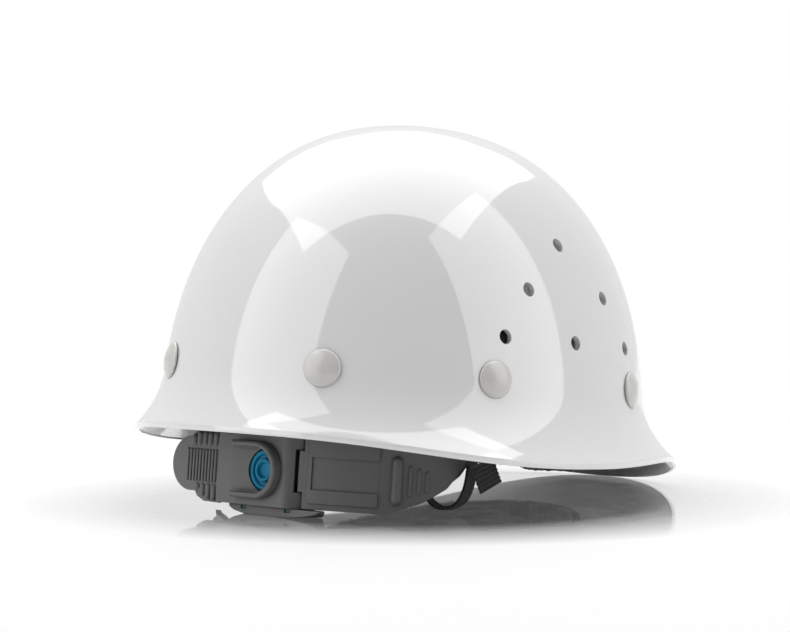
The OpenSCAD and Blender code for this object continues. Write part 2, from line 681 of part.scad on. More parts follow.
// Plan of the housing, drawn in by d, as [x, y]
function case_plan(d) = concat([for (a = [150 : -12 : 90])
    [mouth_x + case_round * 0.58 + (case_round - d) * cos(a),
     face_y - case_round + (case_round - d) * sin(a)]], [[case_x - 1 - d, face_y - d],
    [case_x + 1 - d, face_y - 2 - d], [case_x + 1 - d, case_root], [mouth_root_x + d, case_root],
    [mouth_root_x + d, face_y - 7]]);
module round_the_key(r) {
    translate([0, 0, key_mid]) rotate([-90, 0, 0]) cylinder(r = r, h = 200, $fn = fine);
}
module housing_front() {
    color("#5a5a5c") stand() {
        difference() {
            union() {
                difference() {
                    translate([0, 0, case_low]) linear_extrude(case_high - case_low) polygon(case_plan(0));
                    translate([0, 0, case_low + case_wall])
                        linear_extrude(case_high - case_low - 2 * case_wall) polygon(case_plan(case_wall));
                }
                translate([mouth_x + 4, face_y - case_wall - key_pad, key_mid - key_radius - 2.5])
                    cube([ramp_start - mouth_x, key_pad + 0.5, 2 * key_radius + 5]);
            }
            translate([0, band_rear_centre, -60])
                cylinder(r = plate_outer + seat_gap, h = 120, $fn = fine);
            round_the_key(key_radius + key_gap);
            translate([0, 0, key_mid - key_radius - key_gap]) linear_extrude(2 * (key_radius + key_gap))
                polygon([[3, face_y - ramp_depth], [key_radius - 1, face_y - ramp_depth],
                    [ramp_start, face_y + 0.1], [3, face_y + 0.1]]);
            // The mouth for the sliding strap, and the slot where strap and fixed arm leave
            translate([mouth_root_x - 5, face_y - 43.9, strap_mid - mouth_half])
                cube([14, 40, 2 * mouth_half]);
            translate([case_x - 5, face_y - 46.5, strap_mid - mouth_half]) cube([10, 40, 2 * mouth_half]);
            for (x = foot_windows)
                translate([x - leg_width / 2 - 0.5, carriage_back - key_travel - 0.4, case_low - 1])
                    cube([leg_width + 1, carriage_front - carriage_back + key_travel + 0.8, case_wall + 2]);
        }
        grip();
        collar();
    }
}
// The flat grip beside the housing, with fine ribs between two rows of thumb lobes
module grip() {
    mid = strap_mid - 0.2;
    rib_start = case_x + 0.9;
    rotate([90, 0, 0]) translate([0, 0, -face_y + 0.5]) linear_extrude(grip_thickness - 0.5) {
        translate([case_x - 2, mid - grip_radius])
            square([grip_end - grip_radius - case_x + 2, 2 * grip_radius]);
        translate([grip_end - grip_radius, mid]) circle(r = grip_radius, $fn = fine);
    }
    rotate([90, 0, 0]) translate([0, 0, -face_y + 1.2]) linear_extrude(grip_thickness - 1.6)
        polygon([[case_x - 2, case_low - 0.5], [case_x + 8, case_low - 0.3], [case_x + 13, case_low + 1.9],
            [case_x + 15, case_low + 5], [case_x + 17.5, 0], [case_x + 15, 2.6], [case_x - 2, 2.6]]);
    for (i = [0 : rib_count - 1]) translate([rib_start + i * rib_pitch, face_y - 0.45, -21.2])
        capsule(0.8, 15.4);
    for (i = [0 : 4]) translate([rib_start + 0.6 + i * lobe_pitch, face_y - 1, -4.6])
        capsule(1.65, i == 4 ? 5.4 : 7);
    for (i = [0 : 3]) translate([rib_start + 0.6 + i * lobe_pitch, face_y - 1, case_low + 0.2 + 0.5 * i * i])
        capsule(1.65, 8 - 0.5 * i * i);
}
// The raised collar that half surrounds the key and opens towards the grip
module collar() {
    middle = key_radius + key_gap + collar_gap + collar_width / 2;
    leg = 15;
    module section() {
        translate([-collar_width / 2, -1]) square([collar_width, collar_proud]);
        translate([0, collar_proud - 1]) scale(collar_width / 2.8) circle(r = 1.4, $fn = small);
    }
    translate([0, face_y, key_mid]) rotate([-90, 0, 0]) {
        rotate([0, 0, 90]) rotate_extrude(angle = 180, $fn = fine) translate([middle, 0]) section();
        for (s = [-1, 1]) translate([0, s * middle, 0]) rotate([90, 0, 90]) linear_extrude(leg) section();
    }
}

// Outline of the foot seen from behind, a shallow bow under the housing
foot_bow = [[case_x - 5.4, 5.4], [case_x - 6, 3.4], [case_x - 9, 2], [case_x - 14, 1], [case_x - 20, 0.3],
    [case_x - 28, 0], [case_x - 36, 0.5], [case_x - 46, 1.1], [case_x - 54, 1.9], [case_x - 60, 3],
    [case_x - 64, 5.4]];
module foot_plan() {
    polygon([for (p = foot_bow) [p[0], foot_bottom + p[1]]]);
}
// Plan of the foot, whose end under the sliding arm turns in
module foot_from_above() {
    polygon([[case_x, foot_back], [case_x, foot_front], [case_x - 59, foot_front], [case_x - 63, foot_front - 1],
        [case_x - 64.5, foot_front - 3], [case_x - 55, foot_back]]);
}
// The curved back plate, and under it the hollow foot with two windows onto the carriage's legs
module housing_back() {
    color("#4f4f51") stand() difference() {
        union() {
            arc(plate_inner, plate_outer, plate_left, plate_right, foot_top - 1.5, case_high);
            intersection() {
                rotate([90, 0, 0]) translate([0, 0, -foot_front]) linear_extrude(foot_front - foot_back)
                    foot_plan();
                translate([0, 0, foot_bottom - 1]) linear_extrude(foot_top - foot_bottom + 1)
                    foot_from_above();
            }
        }
        for (x = foot_windows) {
            translate([x - leg_width / 2 - 0.5, carriage_back - key_travel - 0.4, foot_top - leg_drop - 0.5])
                cube([leg_width + 1, carriage_front - carriage_back + key_travel + 0.7, 5]);
            translate([x - leg_width / 2, foot_front - 3, foot_top - leg_drop])
                cube([leg_width, 5, leg_drop - 0.3]);
        }
        for (s = [-1, 1]) translate([-4, case_root, strap_mid + s * (strap_half + tooth_height + 2) - 2])
            cube([8, 40, 4]);
        floor_under_foot();
    }
}
// Everything under the ground, in the helmet's own frame
module floor_under_foot() {
    rotate([-tip, 0, 0]) translate([-100, -200, -lift - 100]) cube([200, 400, 100]);
}
module nape_pad() {
    color("#232325") stand() arc(plate_inner - seat_gap - nape_pad_thickness, plate_inner - seat_gap,
        plate_left + 3, plate_right - 2.6, case_low + 3, case_high - 3);
}

// The round key: a dished face with a raised ring, and a flange that keeps it in the housing
module release_button() {
    front = face_y - key_recess - key_back;
    ring = 5.1;
    color("#2a86b4") stand() translate([0, key_back, key_mid]) rotate([-90, 0, 0])
        rotate_extrude($fn = fine) polygon([[0, 0], [key_radius + 1.4, 0], [key_radius + 1.4, 1.5],
            [key_radius, 1.5], [key_radius, front - 0.4], [key_radius - 0.4, front],
            [key_radius - 1.5, front], [key_radius - 2, front - 1.4], [ring + 0.5, front - 1.4],
            [ring, front + ring_proud], [ring - 1.2, front + ring_proud], [ring - 1.8, front - 0.9],
            [0, front - 1.2]]);
}
// The carriage behind the key, with two pawls over the strap's edges and two legs to the foot
module lock_carriage() {
    edge = strap_half + tooth_height;
    color("#2f7fae") stand() {
        translate([foot_windows[1] - leg_width / 2, carriage_back, case_low + case_wall + 0.4])
            cube([foot_windows[0] - foot_windows[1] + leg_width, carriage_front - carriage_back,
                case_high - case_low - 2 * case_wall - 0.8]);
        for (x = foot_windows) translate([x - leg_width / 2, carriage_back, foot_top - leg_drop])
            cube([leg_width, carriage_front - carriage_back, 6]);
        for (s = [-1, 1]) translate([-3, 0, strap_mid]) mirror([0, 0, s < 0 ? 1 : 0])
            translate([0, 0, edge + lap_gap]) {
                translate([0, band_rear_centre + strap_inner - 0.3, 0.9])
                    cube([6, carriage_back - band_rear_centre - strap_inner + 0.4, 1.7]);
                translate([0, band_rear_centre + strap_inner - 0.3, 0]) cube([6, 1.9, 1]);
            }
    }
}
module spring(length) {
    steps = spring_turns * 8;
    sides = 6;
    rings = [for (i = [0 : steps], k = [0 : sides - 1]) let(a = i * 45, b = k * 360 / sides,
        r = spring_radius - spring_wire / 2 + spring_wire / 2 * cos(b))
        [r * cos(a), r * sin(a), spring_wire / 2 + (length - spring_wire) * i / steps
            + spring_wire / 2 * sin(b)]];
    end = steps * sides;
    polyhedron(rings, concat([[for (k = [0 : sides - 1]) k]],
        [for (i = [0 : steps - 1], k = [0 : sides - 1]) each
            let(a = i * sides + k, b = i * sides + (k + 1) % sides) [[a, a + sides, b + sides], [a, b + sides, b]]],
        [[for (k = [sides - 1 : -1 : 0]) end + k]]));
}
module key_springs() {
    start = band_rear_centre + plate_outer;
    color("silver") stand() for (x = [-8, 9]) translate([x, start, case_low + case_wall + spring_radius + 0.9])
        rotate([-90, 0, 0]) spring(carriage_back - start);
}

// Studs that hold the chin webbing outside the headband
module chin_stud_at(r, inwards, outwards) {
    on_nape(chin_angle, band_rear_radius, chin_stud_height) rotate([0, 90, 0]) translate([0, 0, -inwards])
        cylinder(r = r, h = inwards + outwards, $fn = small);
}
module chin_studs() {
    cover = chin_thickness + 2 * seat_gap;
    color("#3c3c3e") stand() both_sides() {
        chin_stud_at(stud_radius, band_thickness + 0.5, cover + 0.5);
        chin_stud_at(2 * stud_radius, -cover, cover + 1.2);
        chin_stud_at(1.5 * stud_radius, band_thickness + 0.9, -band_thickness - 0.1);
    }
}
// The short webbing from the stud to the slider, whose upper slot it enters
module chin_anchor() {
    slot = slider_place + [0, 0, 7.9];
    points = [nape(chin_angle, chin_lie, 23.5), nape(chin_angle, chin_lie, 14.5),
        nape(chin_angle, chin_lie + 3, 12.2), slot - 4.5 * slider_way + [0, 0, 1.2],
        slot + 0.8 * slider_way];
    across = [tangent, tangent, tangent, slider_across, slider_across];
    color("#262628") stand() difference() {
        ribbon(points, across, chin_width, chin_thickness);
        chin_stud_at(stud_radius + hole_gap, 4, 6);
    }
}
module chin_slider() {
    color("#2b2b2d") stand() translate(slider_place) rotate([0, 0, slider_turn]) difference() {
        translate([-10.5, -1.6, 0]) cube([21, 3.2, 11]);
        for (z = [1.6, 6.4]) translate([-chin_width / 2 - 0.4, -5, z]) cube([chin_width + 0.8, 10, 3]);
    }
}
// The long webbing: its ribbed free end hangs under the rim, and the rest goes over the headband,
// hangs in a loop inside it, and comes up to the buckle
// each point is given as an angle round the nape, a distance out from the headband and a height
function by_the_band(p) = nape(p[0], band_rear_radius + p[1], p[2]);
chin_tail = [[81.3, 12.8, -14.7], [80.1, 12.4, -11], [78.9, 12, -7], [78, 11.8, -3.4]];
chin_run = [[79.9, 11.2, 14.2], [81.6, 9.8, 17.4], [87.8, 4.2, 26], [88.8, -1, 28.6], [88.3, -5.6, 25],
    [87.4, -7.2, 15], [86.8, -7.6, 0], [85.9, -7.8, -13], [83.7, -9.1, -21], [79.2, -11.8, -25.2],
    [73.1, -14.2, -24.6], [69, -15.6, -20.6], [66.3, -16.3, -13], [63.2, -15.9, -4], [61.4, -15.7, 2.3]];
function turned(a) = [cos(a), sin(a), 0];
module chin_strap_right() {
    tail_turns = [for (p = chin_tail) [0.1, 0.9, -0.42]];
    run_angles = [slider_turn, 68, 84, 92, 100, 108, 112, 112, 112, 112, 114, 120, 126, 130, 134];
    color("#262628") stand() {
        ribbon([for (p = chin_tail) by_the_band(p)], tail_turns, chin_width, chin_thickness);
        ribbon([for (p = chin_run) by_the_band(p)], [for (a = run_angles) turned(a)], chin_width,
            chin_thickness);
    }
}
module buckle_socket() {
    color("#2b2b2d") stand() translate(by_the_band([59.7, -15.5, 3.3])) rotate([0, 0, 134]) difference() {
        translate([-buckle_width / 2, -buckle_thickness / 2, 0])
            cube([buckle_width, buckle_thickness, buckle_length]);
        translate([-buckle_width / 2 + 2, -buckle_thickness / 2 + 1.6, 10])
            cube([buckle_width - 4, buckle_thickness - 3.2, buckle_length]);
        translate([-chin_width / 2 - 0.5, -10, 2.2]) cube([chin_width + 1, 20, 4]);
        for (s = [-1, 1]) translate([s * buckle_width / 2, 0, 16]) rotate([90, 0, 0])
            cylinder(r = 3.2, h = 20, center = true, $fn = small);
    }
}
module chin_strap_left() {
    drop = chin_lie - band_rear_radius;
    points = [for (p = [[drop, 12], [drop, 22], [0.7, 26.6], [-2, 28.2], [-4.8, 26.6], [-6.8, 21], [-8.2, 8]])
        mirrored(by_the_band([chin_angle, p[0], p[1]]))];
    color("#262628") stand() difference() {
        ribbon(points, [for (p = points) mirrored(tangent)], chin_width, chin_thickness);
        mirror([1, 0, 0]) chin_stud_at(stud_radius + hole_gap, 1, 6);
    }
}
module buckle_plug() {
    body = 9;
    color("#2b2b2d") stand() mirror([1, 0, 0]) on_nape(chin_angle, plug_radius, plug_height)
        rotate([0, 0, 90]) {
            difference() {
                translate([-buckle_width / 2, -2.5, -body]) cube([buckle_width, 5, body]);
                translate([-chin_width / 2 - 0.5, -10, -4.6]) cube([chin_width + 1, 20, 2.8]);
            }
            for (s = [-1, 1]) translate([s * (buckle_width / 2 - 2 - prong / 2) - prong / 2, -1.5, -body - 14])
                cube([prong, 3, 15]);
            translate([-prong / 2, -1.5, -body - 11]) cube([prong, 3, 12]);
        }
}

shell();
rivets();
rivet_washers();
crown_strap_1();
crown_strap_2();
crown_strap_3();
crown_strap_4();
crown_pad();
strap_hangers();
band_studs();
headband();
sweatband();
left_arm();
right_arm();
ear_pins();
housing_front();
housing_back();
nape_pad();
release_button();
lock_carriage();
key_springs();
chin_studs();
chin_anchor();
chin_slider();
chin_strap_right();
buckle_socket();
chin_strap_left();
buckle_plug();
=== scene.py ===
import json
import math

import bmesh
import bpy
from mathutils import Matrix, Quaternion, Vector, noise
from mathutils.bvhtree import BVHTree


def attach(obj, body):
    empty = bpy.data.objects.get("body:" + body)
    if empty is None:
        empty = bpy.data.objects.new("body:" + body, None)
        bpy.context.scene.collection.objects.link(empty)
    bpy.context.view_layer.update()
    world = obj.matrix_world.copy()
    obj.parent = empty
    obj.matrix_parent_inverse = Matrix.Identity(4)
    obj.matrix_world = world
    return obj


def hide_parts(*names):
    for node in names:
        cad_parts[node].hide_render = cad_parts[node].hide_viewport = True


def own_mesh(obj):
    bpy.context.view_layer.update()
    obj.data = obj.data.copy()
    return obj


# White safety helmet with a nape adjuster. Metres, +Z up, forehead towards -Y, wearer's left towards +X.

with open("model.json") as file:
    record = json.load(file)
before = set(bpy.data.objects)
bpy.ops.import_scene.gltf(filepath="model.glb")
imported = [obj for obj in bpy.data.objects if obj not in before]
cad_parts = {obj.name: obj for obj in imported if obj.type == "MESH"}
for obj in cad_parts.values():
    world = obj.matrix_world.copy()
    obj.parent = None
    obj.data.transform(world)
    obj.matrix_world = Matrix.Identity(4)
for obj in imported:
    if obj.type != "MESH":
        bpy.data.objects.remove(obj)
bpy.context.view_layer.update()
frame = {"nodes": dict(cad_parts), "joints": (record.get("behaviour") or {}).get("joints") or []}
nodes = frame["nodes"]
mm = 0.001
print("frame loaded")

# The helmet stands tipped on its rim and foot. Its own upright frame, in millimetres with its zero
# in the middle of the rim's plane, is found again from the hinge of the sliding arm.


def jointNamed(name):
    return next(joint for joint in frame["joints"] if joint["name"] == name)


hinge = Vector((0.0, 21.0, -12.4)) * mm
slide = jointNamed("size_adjust")
hingeWay = Vector(slide["axis"])
tip = Matrix.Rotation(math.atan2(-hingeWay.y, hingeWay.z), 4, "X")
stand = Matrix.Translation(Vector(slide["pos_m"]) - tip @ hinge) @ tip
standTurn = stand.to_3x3()


def placed(point):
    # a point of the upright frame, in millimetres, as a point of the row's frame
    return stand @ (Vector(point) * mm)


# Node helpers


def feed(socket, value):
    # links a socket to another one, or gives it a plain value
    if isinstance(value, Term):
        value = value.socket
    if isinstance(value, bpy.types.NodeSocket):
        socket.id_data.links.new(value, socket)
    else:
        socket.default_value = value


def addNode(tree, kind, inputs=None, **settings):
    node = tree.nodes.new(kind)
    for name, value in settings.items():
        setattr(node, name, value)
    for name, value in (inputs or {}).items():
        feed(node.inputs[name], value)
    return node


def wired(tree, kind, inputs=None, output=0, **settings):
    return Term(tree, addNode(tree, kind, inputs, **settings).outputs[output])


class Term:
    # an output inside a node tree, which sums, products and powers turn into Math nodes
    def __init__(self, tree, socket):
        self.tree = tree
        self.socket = socket

    def op(self, operation, *others):
        return wired(self.tree, "ShaderNodeMath", dict(enumerate((self, *others))), operation=operation)

    def __add__(self, other):
        return self.op("ADD", other)

    __radd__ = __add__

    def __sub__(self, other):
        return self.op("SUBTRACT", other)

    def __rsub__(self, other):
        return self.op("MULTIPLY_ADD", -1.0, other)

    def __mul__(self, other):
        return self.op("MULTIPLY", other)

    __rmul__ = __mul__

    def __truediv__(self, other):
        return self.op("DIVIDE", other)

    def __rtruediv__(self, other):
        return self.op("POWER", -1.0) * other

    def __pow__(self, other):
        return self.op("POWER", other)

    def sin(self):
        return self.op("SINE")

    def cos(self):
        return self.op("COSINE")

    def abs(self):
        return self.op("ABSOLUTE")

    def sign(self):
        return self.op("SIGN")

    def above(self, limit):
        return self.op("GREATER_THAN", limit)

    def clamped(self, low, high):
        return self.op("MAXIMUM", low).op("MINIMUM", high)


def pick(choice, whenFalse, whenTrue):
    return whenFalse + (whenTrue - whenFalse) * choice


def vectorMath(tree, operation, inputs, output=0):
    return wired(tree, "ShaderNodeVectorMath", inputs, output, operation=operation)


def apart(tree, vector):
    return [Term(tree, part) for part in addNode(tree, "ShaderNodeSeparateXYZ", {"Vector": vector}).outputs]


def together(tree, x=0.0, y=0.0, z=0.0):
    return wired(tree, "ShaderNodeCombineXYZ", {"X": x, "Y": y, "Z": z})


def spread(tree, value, low, high, newLow, newHigh):
    inputs = {"Value": value, "From Min": low, "From Max": high, "To Min": newLow, "To Max": newHigh}
    return wired(tree, "ShaderNodeMapRange", inputs, "Result")


def objectPlace(tree):
    return wired(tree, "ShaderNodeTexCoord", None, "Object")


def grain(tree, place, scale, detail=3.0):
    inputs = {"Vector": place, "Scale": scale, "Detail": detail, "Roughness": 0.55}
    return wired(tree, "ShaderNodeTexNoise", inputs, "Fac")


# Materials


def newMaterial(name, colour, roughness, **sockets):
    material = bpy.data.materials.new(name)
    material.use_nodes = True
    shader = material.node_tree.nodes["Principled BSDF"]
    feed(shader.inputs["Base Color"], (*colour, 1))
    feed(shader.inputs["Roughness"], roughness)
    for socket, value in sockets.items():
        feed(shader.inputs[socket.replace("_", " ")], value)
    return material, material.node_tree, shader


def mixedColour(tree, share, dark, light):
    return wired(tree, "ShaderNodeMix", {0: share, 6: dark, 7: light}, 2, data_type="RGBA")


def tint(tree, shader, share, dark, light):
    feed(shader.inputs["Base Color"], mixedColour(tree, share, (*dark, 1), (*light, 1)))


def roundedEdge(tree, radius):
    return wired(tree, "ShaderNodeBevel", {"Radius": radius}, "Normal", samples=4)


def bumped(tree, shader, height, distance, strength, edge=0.0):
    inputs = {"Height": height, "Distance": distance, "Strength": strength}
    if edge:
        inputs["Normal"] = roundedEdge(tree, edge)
    feed(shader.inputs["Normal"], wired(tree, "ShaderNodeBump", inputs, "Normal"))


def shellWhite():
    # gloss-moulded white with a faint waviness and the odd hair scratch
    look = {"dark": (0.775, 0.775, 0.775), "light": (0.80, 0.80, 0.799), "rough": 0.05, "dulled": 2.4,
            "wave": 9.0, "waveDepth": 0.0004, "waveShare": 0.12, "smear": 60.0, "hair": 720.0,
            "hairSquash": 0.06, "hairFrom": 0.78, "hairTo": 0.82, "hairRough": 0.15}
    material, tree, shader = newMaterial("shell white", look["light"], look["rough"], IOR=1.5,
                                         Coat_Weight=1.0, Coat_Roughness=0.02, Coat_IOR=1.65)
    place = objectPlace(tree)
    tint(tree, shader, grain(tree, place, look["wave"], 2.0), look["dark"], look["light"])
    long = wired(tree, "ShaderNodeMapping", {"Vector": place, "Scale": (1.0, 1.0, look["hairSquash"])}, "Vector")
    hair = spread(tree, grain(tree, long, look["hair"], 1.0), look["hairFrom"], look["hairTo"], 0.0, 1.0)
    smear = spread(tree, grain(tree, place, look["smear"], 4.0), 0.3, 0.8, look["rough"],
                   look["rough"] * look["dulled"])
    feed(shader.inputs["Roughness"], smear + hair * look["hairRough"])
    bumped(tree, shader, grain(tree, place, look["wave"] * 2, 1.0), look["waveDepth"], look["waveShare"])
    return material


# moulded plastic sizes, with the reach and depth of the painted shade in hollows and the range of the painted edge
# highlights
plastic = {"tone": 35.0, "toneShare": 0.6, "paintedHighlightFrom": 0.99, "paintedHighlightTo": 0.8, "hollow": 0.0016,
           "hollowFrom": 0.3, "hollowTo": 0.95, "paintedShadeFactor": 0.35, "smoother": 0.06, "rougher": 0.1,
           "grainDepth": 0.00004, "grainShare": 0.6}


def mouldedPlastic(name, dark, light, rough=0.42, edge=0.0004, fine=1400.0, paintedHighlightShare=0.5, **sockets):
    # injection-moulded plastic: spark-eroded grain and slow tone changes, with painted highlights along the edges
    # and painted shade in the hollows
    material, tree, shader = newMaterial(name, light, rough, IOR=1.5, **sockets)
    place = objectPlace(tree)
    small = grain(tree, place, fine, 2.0)
    flat = wired(tree, "ShaderNodeNewGeometry", None, "Normal")
    # painted highlight: the colour is lightened where the rounded-edge normal turns away from the face's own normal,
    # along every edge
    same = vectorMath(tree, "DOT_PRODUCT", {0: roundedEdge(tree, edge * 1.5), 1: flat}, "Value")
    paintedEdgeHighlight = spread(tree, same, plastic["paintedHighlightFrom"], plastic["paintedHighlightTo"], 0.0, paintedHighlightShare)
    share = grain(tree, place, plastic["tone"], 3.0) * plastic["toneShare"] + paintedEdgeHighlight
    tone = mixedColour(tree, share, (*dark, 1), (*light, 1))
    # painted shade: an occlusion reading darkens the colour in hollows, creases and the gaps between parts
    hollow = wired(tree, "ShaderNodeAmbientOcclusion", {"Distance": plastic["hollow"]}, "AO", samples=6)
    clear = spread(tree, hollow, plastic["hollowFrom"], plastic["hollowTo"], 0.0, 1.0)
    shade = (*[c * plastic["paintedShadeFactor"] for c in dark], 1)
    feed(shader.inputs["Base Color"], mixedColour(tree, clear, shade, tone))
    rubs = spread(tree, small, 0.25, 0.75, rough - plastic["smoother"], rough + plastic["rougher"])
    feed(shader.inputs["Roughness"], rubs)
    bumped(tree, shader, small, plastic["grainDepth"], plastic["grainShare"], edge)
    return material


def webbingCloth(name, dark, light, pitch=0.0011):
    # woven webbing on its own map, with U across and V along in metres
    material, tree, shader = newMaterial(name, light, 0.85, Sheen_Weight=0.25, Sheen_Roughness=0.5)
    u, v = apart(tree, wired(tree, "ShaderNodeUVMap", None, "UV", uv_map="UVMap"))[:2]
    turn = 2 * math.pi / pitch
    fuzz = grain(tree, objectPlace(tree), 2600.0, 2.0)
    height = (u * turn).sin() * (v * (turn * 0.8)).sin() + fuzz * 0.8
    tint(tree, shader, spread(tree, height, -0.6, 1.4, 0.0, 1.0), dark, light)
    bumped(tree, shader, height, 0.00012, 0.8)
    return material


def loopCloth(name, dark, light, size=900.0):
    # towelling and foam: small loops as cells, with a soft sheen
    material, tree, shader = newMaterial(name, light, 0.95, Sheen_Weight=0.4, Sheen_Roughness=0.6)
    cells = wired(tree, "ShaderNodeTexVoronoi", {"Vector": objectPlace(tree), "Scale": size}, "Distance")
    loops = spread(tree, cells, 0.0, 0.7, 1.0, 0.0)
    tint(tree, shader, loops, dark, light)
    bumped(tree, shader, loops, 0.0003, 0.8)
    return material


def zincSteel():
    material, tree, shader = newMaterial("zinc steel", (0.60, 0.60, 0.61), 0.35, Metallic=1.0)
    place = objectPlace(tree)
    feed(shader.inputs["Roughness"], spread(tree, grain(tree, place, 400.0), 0.3, 0.7, 0.28, 0.45))
    tint(tree, shader, grain(tree, place, 90.0), (0.50, 0.50, 0.52), (0.66, 0.66, 0.66))
    return material


finish = {
    "shell": shellWhite(),
    # the rivet caps take faint painted highlights along their edges
    "rivet": mouldedPlastic("rivet cap", (0.585, 0.573, 0.548), (0.64, 0.628, 0.602), 0.3, 0.0003, 900.0, 0.2,
                            Coat_Weight=1.0, Coat_Roughness=0.16, Coat_IOR=1.65),
    "zinc": zincSteel(),
    "arm": mouldedPlastic("arm plastic", (0.118, 0.118, 0.118), (0.172, 0.172, 0.170)),
    "housing": mouldedPlastic("housing plastic", (0.132, 0.132, 0.130), (0.186, 0.186, 0.182)),
    "band": mouldedPlastic("band plastic", (0.050, 0.050, 0.051), (0.062, 0.062, 0.062)),
    "small": mouldedPlastic("small black plastic", (0.020, 0.020, 0.021), (0.030, 0.030, 0.031), 0.38, 0.0003),
    # the blue key takes strong painted highlights along its edges
    "key": mouldedPlastic("blue key", (0.003, 0.185, 0.345), (0.022, 0.420, 0.680), 0.4, 0.0003, paintedHighlightShare=0.9,
                          Specular_IOR_Level=0.25),
    "carriage": mouldedPlastic("blue carriage", (0.006, 0.085, 0.125), (0.010, 0.125, 0.180), 0.4, 0.0003),
    "webbing": webbingCloth("webbing", (0.010, 0.010, 0.011), (0.040, 0.040, 0.042)),
    "chin": webbingCloth("chin webbing", (0.008, 0.008, 0.009), (0.045, 0.045, 0.047), 0.0009),
    "towelling": loopCloth("towelling", (0.006, 0.006, 0.007), (0.030, 0.030, 0.032)),
    "foam": loopCloth("knitted foam", (0.010, 0.010, 0.011), (0.034, 0.034, 0.036), 1300.0),
}
print("materials made")

# Objects and modifier trees


def linked(name, data):
    made = bpy.data.objects.new(name, data)
    bpy.context.collection.objects.link(made)
    return made


def fromWork(name, work):
    # a new object from a finished bmesh
    mesh = bpy.data.meshes.new(name)
    work.to_mesh(mesh)
    work.free()
    return linked(name, mesh)


def reworked(thing, change):
    # one bmesh edit of an object's mesh
    work = bmesh.new()
    work.from_mesh(thing.data)
    change(work)
    work.to_mesh(thing.data)
    work.free()
    return thing


def newTree(name, **sizes):
    # a modifier tree with a geometry input and output and one named input for each size
    tree = bpy.data.node_groups.new(name, "GeometryNodeTree")
    tree.interface.new_socket("Geometry", in_out="OUTPUT", socket_type="NodeSocketGeometry")
    kinds = {"Geometry": "Geometry", **sizes, "finish": "Material"}
    for socket, kind in kinds.items():
        tree.interface.new_socket(socket, in_out="INPUT", socket_type="NodeSocket" + kind)
    start = tree.nodes.new("NodeGroupInput")
    return tree, {socket: Term(tree, start.outputs[socket]) for socket in kinds}


def closeTree(tree, s, geometry):
    real = wired(tree, "GeometryNodeRealizeInstances", {"Geometry": geometry})
    end = tree.nodes.new("NodeGroupOutput")
    feed(end.inputs[0], wired(tree, "GeometryNodeSetMaterial", {"Geometry": real, "Material": s["finish"]}))
    return tree


def evaluated(thing):
    return bpy.data.meshes.new_from_object(thing.evaluated_get(bpy.context.evaluated_depsgraph_get()))


def grown(name, mesh, tree, values, material):
    # runs a tree once on a mesh and keeps the result as a plain mesh object
    source = linked(name + " source", mesh)
    modifier = source.modifiers.new("grow", "NODES")
    modifier.node_group = tree
    ids = {i.name: i.identifier for i in tree.interface.items_tree if i.in_out == "INPUT"}
    for size, value in {**values, "finish": material}.items():
        modifier[ids[size]] = value
    result = evaluated(source)
    bpy.data.objects.remove(source)
    result.name = name
    if not result.materials:
        result.materials.append(material)
    return linked(name, result)


def applied(thing):
    # bakes an object's modifiers into its mesh
    old, thing.data = thing.data, evaluated(thing)
    thing.modifiers.clear()
    bpy.data.meshes.remove(old)
    return thing


def rightWayOut(thing):
    return reworked(thing, lambda work: bmesh.ops.recalc_face_normals(work, faces=work.faces))


# The shell: one closed skin by rule, outside from the crown to the rim and back up inside

shell = {"halfWidth": 103.0, "frontLength": 122.2, "rearLength": 124.3, "crownHeight": 155.5,
         "sideFullness": 2.28, "planFullness": 2.29, "crownSetback": 3.1, "wall": 2.8,
         "brimSide": 12.4, "brimFront": 20.9, "brimRear": 12.1, "brimHeight": 31.6, "brimCurl": 2.1,
         "edgeHeight": 2.7, "rimMean": -1.5, "rimRise": 3.2, "rimBow": 3.2, "rimWave": 1.8,
         "around": 288, "outerRows": 120, "innerRows": 60}
moulding = {"round": 0.00045, "steps": 3, "sharp": 30.0, "skinAngle": 25.0, "sliver": 0.00001,
            "merge": 0.002, "turnStep": 0.0087, "riseStep": 0.4}


